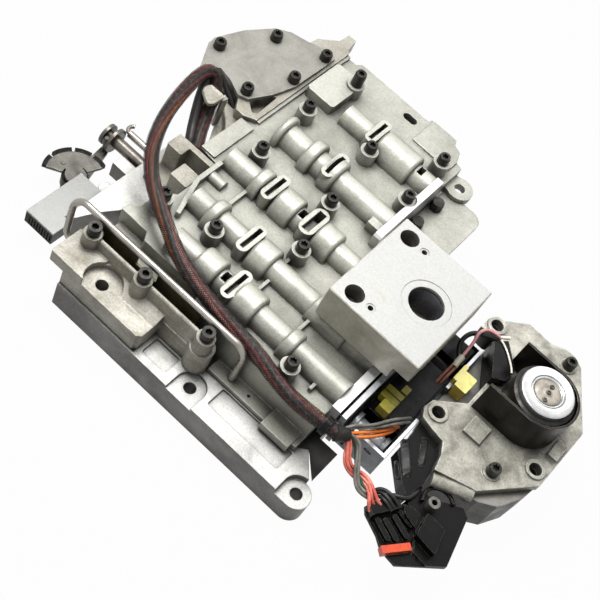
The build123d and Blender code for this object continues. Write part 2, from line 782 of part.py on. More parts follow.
# Folded sheet tray
with BuildPart() as wiring_tray:
    block(tray_x, tray_right, tray_front, tray_back, tray_base, tray_floor)
    block(tray_x, tray_x + sheet_t, tray_front, tray_back, tray_base, tray_base + 14)
    block(tray_right - sheet_t, tray_right, tray_front, tray_back, tray_base, tray_top)
    block(84, tray_right, tray_front, tray_front + sheet_t, tray_base, tray_top)
    block(100, tray_right, tray_back - sheet_t, tray_back, tray_base, tray_top)
    block(tray_right - sheet_t, tray_right, 4, 40, 36, tray_top, 0, Mode.SUBTRACT)
    with BuildSketch(side_plane(98.8, tray_front, 38)) as slot:
        SlotOverall(6, 3.4)
    extrude(slot.sketch, amount=-sheet_t, mode=Mode.SUBTRACT)
save(wiring_tray.part, "wiring_tray")

# What lies in the tray
coil_x = tray_x + sheet_t
with BuildPart() as lockup_solenoid:
    turned(
        -24, 33.5,
        [
            (coil_x, 9), (coil_x + 3, 9), (coil_x + 3, 6.5), (coil_x + 24, 6.5), (coil_x + 24, 8),
            (coil_x + 27, 8),
        ],
    )
    block(coil_x, coil_x + 3, -33, -15.5, tray_floor, 33.5)
save(lockup_solenoid.part, "lockup_solenoid")

with BuildPart() as coil_housing:
    block(coil_x, 105.5, -13.5, 50, tray_floor, 42, 1)
    block(94, 100, -11, 18, 42, 44, 0)
save(coil_housing.part, "coil_housing")

with BuildPart() as overdrive_solenoid:
    block(coil_x, 105.5, 63.5, 82, tray_floor, 43, 1)
    block(coil_x, 104, 51, 62.5, tray_floor, 30)
    rod(coil_x, 104, 57, 35, 5.5)
    block(coil_x, 84, 51, 64, tray_floor, 40)
save(overdrive_solenoid.part, "overdrive_solenoid")

with BuildPart() as yellow_plugs:
    block(84, 93, -12, -4.5, 42, 50, 0.8)
    block(79.5, 93, -3.5, 1.5, 42, 49, 0.8)
    block(79.5, 93, 2.5, 7.5, 42, 49, 0.8)
    block(88, 93, 8.5, 15, 42, 50, 0.8)
save(yellow_plugs.part, "yellow_plugs")

with BuildPart() as square_plug:
    block(110.5, 120.5, 42.5, 58, module_ledge_z, module_ledge_z + 12, 1)
    block(107.2, 110.5, 46, 62, tray_top, module_ledge_z + 12, 0.8)
save(square_plug.part, "square_plug")

# Pressure unit: base, cover and what stands on it
module_outline = [
    (107.5, 20.5), (106, 12), (110, 5), (120, 2.5), (130, 1), (135, -8), (138, -20), (167, -10),
    (196, 27),
    (197, 85), (182, 108), (168, 130), (160, 134), (152, 134), (142, 128.5), (121, 129), (107, 116),
    (97.5, 108), (97, 97), (104, 98), (112, 101), (126, 92), (126, 38),
]
base_outline = [
    (tray_right, 22), (112, 7), (120, 4.5), (130, 3), (136.5, -8), (139, -16.5), (172, -12),
    (184, -4), (192, 12),
    (195, 28), (195, 84), (180.5, 107), (167, 128), (152, 132), (142, 126.5), (121, 127),
    (tray_right, 117),
]
with BuildPart() as module_base:
    outline(base_outline, module_base_z, module_ledge_z)
    outline(
        [(x if x > 127 else 127, y) for x, y in base_outline if x > 119],
        module_ledge_z, module_cover_z,
    )
    outline(
        [(tray_right, 98), (127, 98), (127, 127), (121, 127), (tray_right, 117)], module_ledge_z,
        module_cover_z,
    )
    outline(
        [(tray_right, 22), (112, 7), (120, 4.5), (127, 3.5), (127, 30), (tray_right, 26)],
        module_ledge_z, module_cover_z,
    )
    post(module_holes_at[0], boss_r, module_cover_z - boss_reach, module_cover_z)
    for hole in module_holes_at:
        post(hole, module_hole_r, module_base_z, module_cover_z, Mode.SUBTRACT)
    for at in module_screws_at:
        post(at, shank_hole_r, module_cover_z - 16, module_cover_z, Mode.SUBTRACT)
    outline(terminal_points, module_ledge_z, module_cover_z, 0, Mode.SUBTRACT)
save(module_base.part, "module_base")

with BuildPart() as module_cover:
    outline(module_outline, module_cover_z, module_top)
    for hole in module_holes_at:
        post(hole, 7.2, module_cover_z, module_top + 1.5)
    for at in module_screws_at:
        post(at, 6.4, module_top, module_top + 1)
    with BuildSketch(Plane(origin=(*lip_start, module_cover_z), x_dir=(0, 0, 1), z_dir=lip_way)) as lip:
        Circle(lip_r)
        with Locations((-lip_r / 2, 0)):
            Rectangle(lip_r, 2 * lip_r, mode=Mode.SUBTRACT)
    extrude(lip.sketch, amount=lip_length)
    block(134.9, 148.8, 16.9, 32.8, module_top, module_top + 3)
    block(186.5, 194.5, 49.7, 65.6, module_top, module_top + 3)
    for hole in module_holes_at:
        post(hole, module_hole_r, module_cover_z, module_top + 1.5, Mode.SUBTRACT)
    for at in module_screws_at:
        post(at, shank_hole_r, module_cover_z, module_top + 1, Mode.SUBTRACT)
    outline(terminal_points, module_cover_z, module_top, 0, Mode.SUBTRACT)
save(module_cover.part, "module_cover")

with BuildPart() as module_screws:
    for at in module_screws_at:
        star_screw(at, module_top + 1, head_h, module_top + 15 - module_cover_z)
save(module_screws.part, "module_screws")

with BuildPart() as solenoid_strap:
    with BuildSketch(Plane.XY.offset(module_top)) as profile:
        with BuildLine():
            Line((strap_left, solenoid_at[1] - strap_r), (solenoid_at[0], solenoid_at[1] - strap_r))
            ThreePointArc(
                (solenoid_at[0], solenoid_at[1] - strap_r), (solenoid_at[0] + strap_r, solenoid_at[1]),
                (solenoid_at[0], solenoid_at[1] + strap_r),
            )
            Line((solenoid_at[0], solenoid_at[1] + strap_r), (strap_left, solenoid_at[1] + strap_r))
            Line(
                (strap_left, solenoid_at[1] + strap_r), (strap_left, solenoid_at[1] + strap_r - strap_t)
            )
            Line(
                (strap_left, solenoid_at[1] + strap_r - strap_t),
                (solenoid_at[0], solenoid_at[1] + strap_r - strap_t),
            )
            ThreePointArc(
                (solenoid_at[0], solenoid_at[1] + strap_r - strap_t),
                (solenoid_at[0] + strap_r - strap_t, solenoid_at[1]),
                (solenoid_at[0], solenoid_at[1] - strap_r + strap_t),
            )
            Line(
                (solenoid_at[0], solenoid_at[1] - strap_r + strap_t),
                (strap_left, solenoid_at[1] - strap_r + strap_t),
            )
            Line(
                (strap_left, solenoid_at[1] - strap_r + strap_t), (strap_left, solenoid_at[1] - strap_r),
            )
        make_face()
    extrude(amount=strap_h)
save(solenoid_strap.part, "solenoid_strap")

with BuildPart() as pressure_solenoid:
    post(solenoid_at, coil_r, module_top, coil_top)
    post(solenoid_at, solenoid_r, coil_top, solenoid_top)
    with BuildSketch(Plane.XY.offset(solenoid_top).move(Location((solenoid_at[0], solenoid_at[1], 0)))) as ring:
        Circle(12.2)
        Circle(11.2, mode=Mode.SUBTRACT)
    extrude(ring.sketch, amount=-1, mode=Mode.SUBTRACT)
    for dx, dy, r in ((0, 5.5, 1.6), (0.5, 0, 1.8), (1.5, -7, 1.4)):
        post(
            (solenoid_at[0] + dx, solenoid_at[1] + dy), r, solenoid_top - 2, solenoid_top, Mode.SUBTRACT
        )
save(pressure_solenoid.part, "pressure_solenoid")

with BuildPart() as terminal_block:
    outline(terminal_points, module_ledge_z, module_top + 8)
save(terminal_block.part, "terminal_block")

# Black connector, its guide, post and lock
lock_angle = degrees(atan2(lock_end[1] - lock_start[1], lock_end[0] - lock_start[0]))
lock_length = hypot(lock_end[0] - lock_start[0], lock_end[1] - lock_start[1])
lock_middle = ((lock_start[0] + lock_end[0]) / 2, (lock_start[1] + lock_end[1]) / 2)
lock_plane = Plane.XY.offset(plug_top - lock_groove).move(
    Location((lock_middle[0], lock_middle[1], 0), (0, 0, lock_angle))
)
with BuildPart() as connector_housing:
    outline(
        [
            (143, -32), (168.4, -17.5), (171, -30), (170, -56), (158, -74), (146, -70), (134, -62),
            (137, -50.3),
            (139.5, -32),
        ],
        connector_base, connector_rim[0],
    )
    outline(
        [
            (139.5, -32), (150, -30.5), (168.4, -20), (174.3, -23.7), (183.2, -61.1),
            (158.6, -84.8), (145.8, -83.5),
            (138.3, -78.2), (131.9, -75.4), (124.5, -72.1), (121.2, -68.3), (126, -57), (137, -50.3),
        ],
        connector_rim[0], plug_top,
    )
    outline(
        [
            (139.5, -32), (150, -30.5), (168.4, -20), (174.3, -23.7), (183.2, -61.1), (173.1, -71),
            (162.3, -70.5),
            (151, -52), (139.5, -46),
        ],
        plug_top, connector_rim[1],
    )
    # Raised block, hinge plate and wire entry
    outline(
        [(152.8, -44.8), (167.6, -45.9), (172.6, -64.5), (156, -62.5)], connector_rim[1],
        connector_top, 0.8,
    )
    outline(
        [(138.2, -51.2), (143.8, -48.4), (149.7, -47.8), (153.0, -58.8), (142.3, -55.8)], plug_top,
        connector_rim[1] + 4,
    )
    outline(
        [(121.6, -69), (128.3, -73.0), (138.6, -54.8), (134.4, -51.4), (127, -58)], plug_top,
        connector_top - 1,
    )
    for start, end in plug_fingers:
        middle = ((start[0] + end[0]) / 2, (start[1] + end[1]) / 2)
        turn = degrees(atan2(end[1] - start[1], end[0] - start[0]))
        length = hypot(end[0] - start[0], end[1] - start[1])
        with BuildSketch(Plane.XY.offset(plug_top).move(Location((middle[0], middle[1], 0), (0, 0, turn)))) as finger:
            SlotOverall(length + finger_w, finger_w)
        extrude(finger.sketch, amount=finger_h)
    with BuildSketch(lock_plane) as groove:
        Rectangle(lock_length + 2 * lock_gap, lock_w + 2 * lock_gap)
    extrude(groove.sketch, amount=lock_groove, mode=Mode.SUBTRACT)
save(connector_housing.part, "connector_housing")

with BuildPart() as connector_lock:
    with BuildSketch(lock_plane) as body:
        Rectangle(lock_length, lock_w)
    extrude(body.sketch, amount=lock_h)
save(connector_lock.part, "connector_lock")

with BuildPart() as cable_guide:
    outline(
        [
            (112.4, 4.6), (120, 2.2), (129.6, 0.7), (134.6, -8.2), (138.0, -20), (139.0, -29.8),
            (136.8, -46),
            (129, -41), (112.4, -24),
        ],
        connector_base + 4, module_cover_z,
    )
save(cable_guide.part, "cable_guide")

with BuildPart() as connector_post:
    post(post_at, 4.2, connector_rim[1], connector_top + 1.5)
    post(post_at, 2.0, connector_rim[1] + 2, connector_top + 1.5, Mode.SUBTRACT)
save(connector_post.part, "connector_post")

# Selector lever, its pads and the switch that it turns
switch_outline = [
    (-175.6, -69.4), (-150.6, -69.4), (-150.6, -53), (-156.2, -53), (-156.2, -17.5), (-176, -17.5),
]
cover_base = switch_z + switch_h - switch_cover_t
with BuildPart() as switch_body:
    outline(switch_outline, switch_z, cover_base)
    post(lever_at, lever_hub_r + 2, switch_z, lever_z - lever_gap)
    post(lever_at, lever_hub_r + 1, lever_z - lever_gap, cover_base, Mode.SUBTRACT)
    for number in range(9):
        x = -172 + 2.4 * number
        block(x, x + 1.0, -69.5, -68.2, switch_z + 1, switch_z + switch_h - 3, 0, Mode.SUBTRACT)
    post(lever_at, lever_shaft_r + lever_running, switch_z, lever_z, Mode.SUBTRACT)
save(switch_body.part, "switch_body")

with BuildPart() as switch_cover:
    outline(switch_outline, cover_base, switch_z + switch_h)
save(switch_cover.part, "switch_cover")


def rim_band(inner_r, outer_r, start, end, low, high):
    """A band round the lever's axis between two angles."""
    with BuildSketch(Plane.XY.offset(low)) as band:
        with BuildLine():
            inner = CenterArc(lever_at, inner_r, start, end - start)
            outer = CenterArc(lever_at, outer_r, start, end - start)
            Line(inner @ 0, outer @ 0)
            Line(inner @ 1, outer @ 1)
        make_face()
    extrude(band.sketch, amount=high - low)


with BuildPart() as detent_lever:
    rim_band(9.0, lever_r, 72, 212, lever_z, lever_z + lever_t)
    rim_band(4.0, 12.0, 100, 190, lever_z, lever_z + lever_t)
    post(lever_at, lever_hub_r, lever_z, cover_base - lever_gap)
    post(lever_at, lever_shaft_r, lever_arm_z, lever_z)
    post((lever_at[0] - 13, lever_at[1] + 0.8), 1.6, lever_z, lever_z + lever_t + 0.8)
    # Lower arm with the peg that moves the manual valve
    outline(
        [
            (lever_at[0] - 7, lever_at[1] - 5), (lever_at[0] + 7, lever_at[1] - 5),
            (peg_at[0] + 3.2, peg_at[1] + 2.5), (peg_at[0] - 3.2, peg_at[1] + 2.5),
        ],
        lever_arm_z, lever_arm_z + lever_arm_t, 1.5,
    )
    post(peg_at, peg_r, lever_arm_z, manual_z + 4)
save(detent_lever.part, "detent_lever")

with BuildPart() as sector_pads:
    for start, end in ((186, 210), (142, 178), (106, 136), (74, 100)):
        rim_band(lever_r, lever_r + 3.0, start, end, lever_z - 0.6, lever_z + lever_t + 0.6)
save(sector_pads.part, "sector_pads")

# Manual valve and throttle plunger, whose ends show at the left
with BuildPart() as manual_valve:
    turned(
        manual_y, manual_z,
        [
            (-194.5, 8.5), (-191.9, 8.5), (-191.9, 4.2), (-187.1, 4.2), (-187.1, 10.0), (-184.6, 10.0),
            (-184.6, manual_r), (-150, manual_r), (-150, 3.0), (-140, 3.0), (-140, manual_r),
            (-128, manual_r),
        ],
    )
save(manual_valve.part, "manual_valve")

hook_r = 4.2
with BuildPart() as throttle_plunger:
    turned(plunger_y, manual_z, [(-184, plunger_r), (-138, plunger_r)])
    with BuildLine(Plane.XY.offset(manual_z)) as hook_path:
        CenterArc((-184, plunger_y + hook_r), hook_r, 270, -150)
    with BuildSketch(Plane(origin=hook_path.line @ 0, z_dir=hook_path.line % 0)):
        Circle(1.6)
    sweep()
save(throttle_plunger.part, "throttle_plunger")

# Braided conduit and the leads
conduit_points = [
    (-135, 53, 38), (-141.5, 62, 41), (-148.0, 72.5, 47), (-154, 83, 54), (-157.5, 90.5, 61),
    (-162.5, 94.0, 66.5),
    (-167.3, 89.5, 69), (-167.6, 78, 69.5), (-162.5, 52, 70), (-154.5, 26.1, 70), (-141.5, 1.5, 70.5),
    (-126.4, -14.8, 71), (-109.7, -26.2, 71), (-92.0, -35.0, 69), (-69.2, -45.6, 65),
    (-41.8, -49.8, 61.5),
    (-15.0, -50.9, 58.5), (4.5, -51.6, 58), (27.6, -56.8, 57), (41.5, -58.6, 57),
    (61.0, -58.0, 57.5), (78.5, -55.4, 58),
]
conduit = cord(conduit_points, conduit_r, "conduit")
save(conduit, "conduit")

lead_routes = {
    "orange_leads": [
        [(76.0, -54.5, 57), (81.5, -52.0, 55.5), (86.8, -46.6, 53), (92, -39.5, 50.5), (96.8, -31, 49),
         (99.8, -22, 46.5), (101.0, -14, 43.0), (101.0, -10, 40.5)],
        [
            (76.0, -57.5, 57), (81.5, -58.6, 56), (86.5, -60.5, 53), (92.5, -62.6, 49.5),
            (99, -64.6, 46.8), (106.5, -67.0, 44.5), (115.0, -68.6, 42.6), (123.6, -69.3, 42.2),
        ],
    ],
    "grey_leads": [
        [
            (76.0, -53.8, 60.5), (82, -51.0, 59), (88, -45.0, 56.5), (94, -37.0, 53.5),
            (99.2, -27.5, 51), (103, -17, 48), (104.2, -10, 43.5), (104.2, -7.5, 40.5),
        ],
        [
            (76.0, -57.4, 60.5), (82.5, -58.2, 59.8), (89, -59.0, 57), (95.5, -60.2, 53),
            (102.5, -62.0, 49.6), (110, -64.0, 46.2), (117.5, -65.6, 43.6), (124.4, -65.8, 43.0),
        ],
    ],
    "pink_lead": [
        [
            (108.6, 53, 49), (105.5, 57, 53.5), (102, 63.5, 57), (100.2, 72, 59.5),
            (101.2, 80.5, 60.5), (105, 86.5, 60), (110.2, 89.2, 58), (114.2, 89.6, 54),
        ],
    ],
}
for name, routes in lead_routes.items():
    wires = [cord(route, lead_r, name) for route in routes]
    save(Compound(children=wires), name)

with BuildPart() as cable_clip:
    with BuildSketch(end_plane(clip_x, -56.6, 57.8)) as profile:
        Circle(conduit_r + 1.8)
        Circle(conduit_r + 0.6, mode=Mode.SUBTRACT)
    extrude(profile.sketch, amount=clip_w)
save(cable_clip.part, "cable_clip")
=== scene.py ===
import math

import bpy
from bpy.props import FloatProperty, FloatVectorProperty, IntProperty, PointerProperty
from bpy.types import Operator, Panel, PropertyGroup
from mathutils import Matrix, Vector


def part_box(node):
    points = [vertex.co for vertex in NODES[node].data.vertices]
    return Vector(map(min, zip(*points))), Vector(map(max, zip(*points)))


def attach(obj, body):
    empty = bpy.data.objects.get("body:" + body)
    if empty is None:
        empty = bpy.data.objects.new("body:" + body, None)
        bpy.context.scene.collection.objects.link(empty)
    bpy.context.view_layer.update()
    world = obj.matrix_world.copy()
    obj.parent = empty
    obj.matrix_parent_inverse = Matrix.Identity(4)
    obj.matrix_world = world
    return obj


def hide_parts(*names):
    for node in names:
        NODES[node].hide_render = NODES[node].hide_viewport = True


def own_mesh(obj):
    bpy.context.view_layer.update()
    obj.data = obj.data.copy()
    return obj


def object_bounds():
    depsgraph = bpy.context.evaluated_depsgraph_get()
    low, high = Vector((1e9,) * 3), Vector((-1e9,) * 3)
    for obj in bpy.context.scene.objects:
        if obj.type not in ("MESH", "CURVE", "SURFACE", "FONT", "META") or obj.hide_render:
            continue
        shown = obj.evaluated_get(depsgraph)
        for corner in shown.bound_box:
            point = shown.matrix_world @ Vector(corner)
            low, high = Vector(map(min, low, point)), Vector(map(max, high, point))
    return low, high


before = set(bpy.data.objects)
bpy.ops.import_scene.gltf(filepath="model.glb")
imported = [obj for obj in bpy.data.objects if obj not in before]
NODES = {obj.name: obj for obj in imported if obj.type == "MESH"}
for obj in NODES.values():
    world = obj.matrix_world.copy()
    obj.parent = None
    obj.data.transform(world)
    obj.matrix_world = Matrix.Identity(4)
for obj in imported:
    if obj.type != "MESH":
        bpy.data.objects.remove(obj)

bl_info = {
    "name": "Transmission valve body",
    "version": (1, 0, 0),
    "blender": (4, 5, 0),
    "location": "3D View > Sidebar > Valve body",
    "description": "Dresses a valve body with castings, loom, screws and small fittings",
    "category": "Object",
}

CAD_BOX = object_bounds()
MM = 0.001


def linear(code):
    """Linear colour with alpha from an sRGB hex code."""
    parts = [int(code[i:i + 2], 16) / 255 for i in (1, 3, 5)]
    return tuple(p / 12.92 if p <= 0.04045 else ((p + 0.055) / 1.055) ** 2.4 for p in parts) + (1.0,)


def add(material, kind, inputs=None, **settings):
    """Adds a node with its settings, its values and its links."""
    made = material.node_tree.nodes.new(kind)
    for name, value in settings.items():
        setattr(made, name, value)
    for socket, value in (inputs or {}).items():
        if isinstance(value, bpy.types.NodeSocket):
            material.node_tree.links.new(value, made.inputs[socket])
        else:
            made.inputs[socket].default_value = value
    return made


def maths(material, operation, a, b):
    """The outcome of one operation on two values."""
    return add(material, "ShaderNodeMath", {0: a, 1: b}, operation=operation).outputs[0]


def noise(material, place, size_mm, detail, roughness, **inputs):
    """A random tone with grains of a size in millimetres."""
    values = {"Vector": place, "Scale": 1000 / size_mm, "Detail": detail, "Roughness": roughness}
    return add(material, "ShaderNodeTexNoise", {**values, **inputs}).outputs["Fac"]


def blank(name):
    """An empty node material."""
    material = bpy.data.materials.new(name)
    material.use_nodes = True
    material.node_tree.nodes.clear()
    return material


def finish_off(material, shader):
    """Links a shader to the material's output."""
    add(material, "ShaderNodeOutputMaterial", {"Surface": shader})
    return material


def ramp(material, factor, stops):
    """A colour ramp with (place, hex colour) stops."""
    made = add(material, "ShaderNodeValToRGB", {"Fac": factor})
    band = made.color_ramp
    while len(band.elements) < len(stops):
        band.elements.new(0.5)
    for element, (place, code) in zip(band.elements, stops):
        element.position = place
        element.color = linear(code)
    return made.outputs["Color"]


def spread(material, factor, low, high, to_low=0.0, to_high=1.0):
    """Maps one range of a value to another, held at its ends."""
    made = add(
        material, "ShaderNodeMapRange",
        {"Value": factor, "From Min": low, "From Max": high, "To Min": to_low, "To Max": to_high},
    )
    return made.outputs["Result"]


def blend_colour(material, factor, a, b, kind="MIX"):
    """One colour laid over another by a factor."""
    made = add(material, "ShaderNodeMix", data_type="RGBA", blend_type=kind, clamp_factor=True)
    for socket, value in ((made.inputs[0], factor), (made.inputs[6], a), (made.inputs[7], b)):
        if isinstance(value, bpy.types.NodeSocket):
            material.node_tree.links.new(value, socket)
        else:
            socket.default_value = value
    return made.outputs[2]


def worked_surface(
    name, tones, grain_mm, grain_height_mm, stain_mm=40.0, round_mm=0.8, wear_and_glint=None, wear_and_glint_amount=0.6,
    metallic=1.0, roughness=0.5, rough_change=0.12, stretch=(1.0, 1.0, 1.0), speck=0.15, grime_and_shade=None,
    grime_and_shade_mm=6.0, upper=None, rim=None, **sockets,
):
    """A solid's surface: broad stains, fine grain, softened edges, worn edges with a painted glint, and
    painted shade in its corners.

    tones are the dark, middle and light hex colours of the surface, wear_and_glint is the hex colour of
    rubbed edges, laid on as wear and as a painted glint, stretch pulls the grain out along an axis, as
    milling and rolling do, and grime_and_shade is the hex colour laid in corners and recesses by ambient
    occlusion: painted shade, together with the oil and dust that stays there. upper is the hex colour of
    faces that look up, painted paler as light from above (on the block, the grey of its milled top), and
    the height in millimetres from which it counts. rim is a height and the hex colour above it: bare cut
    metal, painted bright as a highlight.
    """
    m = blank(name)
    place = add(m, "ShaderNodeTexCoord").outputs["Object"]
    drawn = add(m, "ShaderNodeMapping", {"Vector": place, "Scale": stretch}).outputs["Vector"]
    stain = noise(m, place, stain_mm, 5.0, 0.62, Distortion=0.4)
    grain = noise(m, drawn, grain_mm, 3.0, 0.6)
    mottle = noise(m, drawn, 4 * grain_mm, 2.0, 0.5)
    colour = ramp(m, stain, [(0.3, tones[0]), (0.5, tones[1]), (0.72, tones[2])])
    flat = add(m, "ShaderNodeNewGeometry").outputs["Normal"]
    # Painted light: faces that look up, above a height, get a paler colour as light from above (on the block,
    # the grey of its milled top)
    if upper:
        rise = add(m, "ShaderNodeSeparateXYZ", {"Vector": flat}).outputs["Z"]
        high = add(m, "ShaderNodeSeparateXYZ", {"Vector": place}).outputs["Z"]
        share = maths(m, "MULTIPLY", spread(m, rise, 0.86, 0.98), spread(m, stain, 0.3, 0.5, 0.55, 1.0))
        share = maths(m, "MULTIPLY", share, spread(m, high, (upper[1] - 1) * MM, upper[1] * MM))
        colour = blend_colour(m, share, colour, linear(upper[0]))
    # Above a height the colour turns to bare cut metal, painted bright as a highlight
    if rim:
        high = add(m, "ShaderNodeSeparateXYZ", {"Vector": place}).outputs["Z"]
        share = spread(m, high, (rim[0] - 0.1) * MM, rim[0] * MM)
        colour = blend_colour(m, share, colour, linear(rim[1]))
    fleck = spread(m, grain, 0.3, 0.7, 1.0 - speck, 1.0 + speck)
    fleck = add(m, "ShaderNodeCombineColor", {"Red": fleck, "Green": fleck, "Blue": fleck}).outputs["Color"]
    colour = blend_colour(m, 1.0, colour, fleck, "MULTIPLY")
    rounded = add(m, "ShaderNodeBevel", {"Radius": round_mm * MM}, samples=4).outputs["Normal"]
    # Rubbed edges, pale as wear and as a painted glint
    if wear_and_glint:
        meet = add(m, "ShaderNodeVectorMath", {0: rounded, 1: flat}, operation="DOT_PRODUCT")
        edge = spread(m, meet.outputs["Value"], 0.995, 0.86)
        patchy = maths(m, "MULTIPLY", edge, spread(m, mottle, 0.35, 0.6))
        colour = blend_colour(m, maths(m, "MULTIPLY", patchy, wear_and_glint_amount), colour, linear(wear_and_glint))
    # Painted shade: corners and recesses darkened by ambient occlusion, along with the oil and dust held
    # there
    if grime_and_shade:
        sheltered = add(m, "ShaderNodeAmbientOcclusion", {"Distance": grime_and_shade_mm * MM}, samples=5)
        corners = spread(m, sheltered.outputs["AO"], 0.90, 0.36)
        painted_shade_and_dirt = maths(m, "MULTIPLY", corners, spread(m, stain, 0.2, 0.6, 1.0, 0.7))
        colour = blend_colour(m, painted_shade_and_dirt, colour, linear(grime_and_shade))
    rough = spread(m, stain, 0.3, 0.7, roughness + rough_change, roughness - rough_change)
    bump = rounded
    for height, rise_mm, strength in ((mottle, grain_height_mm * 2, 0.7), (grain, grain_height_mm, 1.0)):
        relief = {"Height": height, "Distance": rise_mm * MM, "Strength": strength, "Normal": bump}
        bump = add(m, "ShaderNodeBump", relief).outputs["Normal"]
    values = {"Base Color": colour, "Metallic": metallic, "Roughness": rough, "Normal": bump}
    values.update(sockets)
    return finish_off(m, add(m, "ShaderNodeBsdfPrincipled", values).outputs["BSDF"])
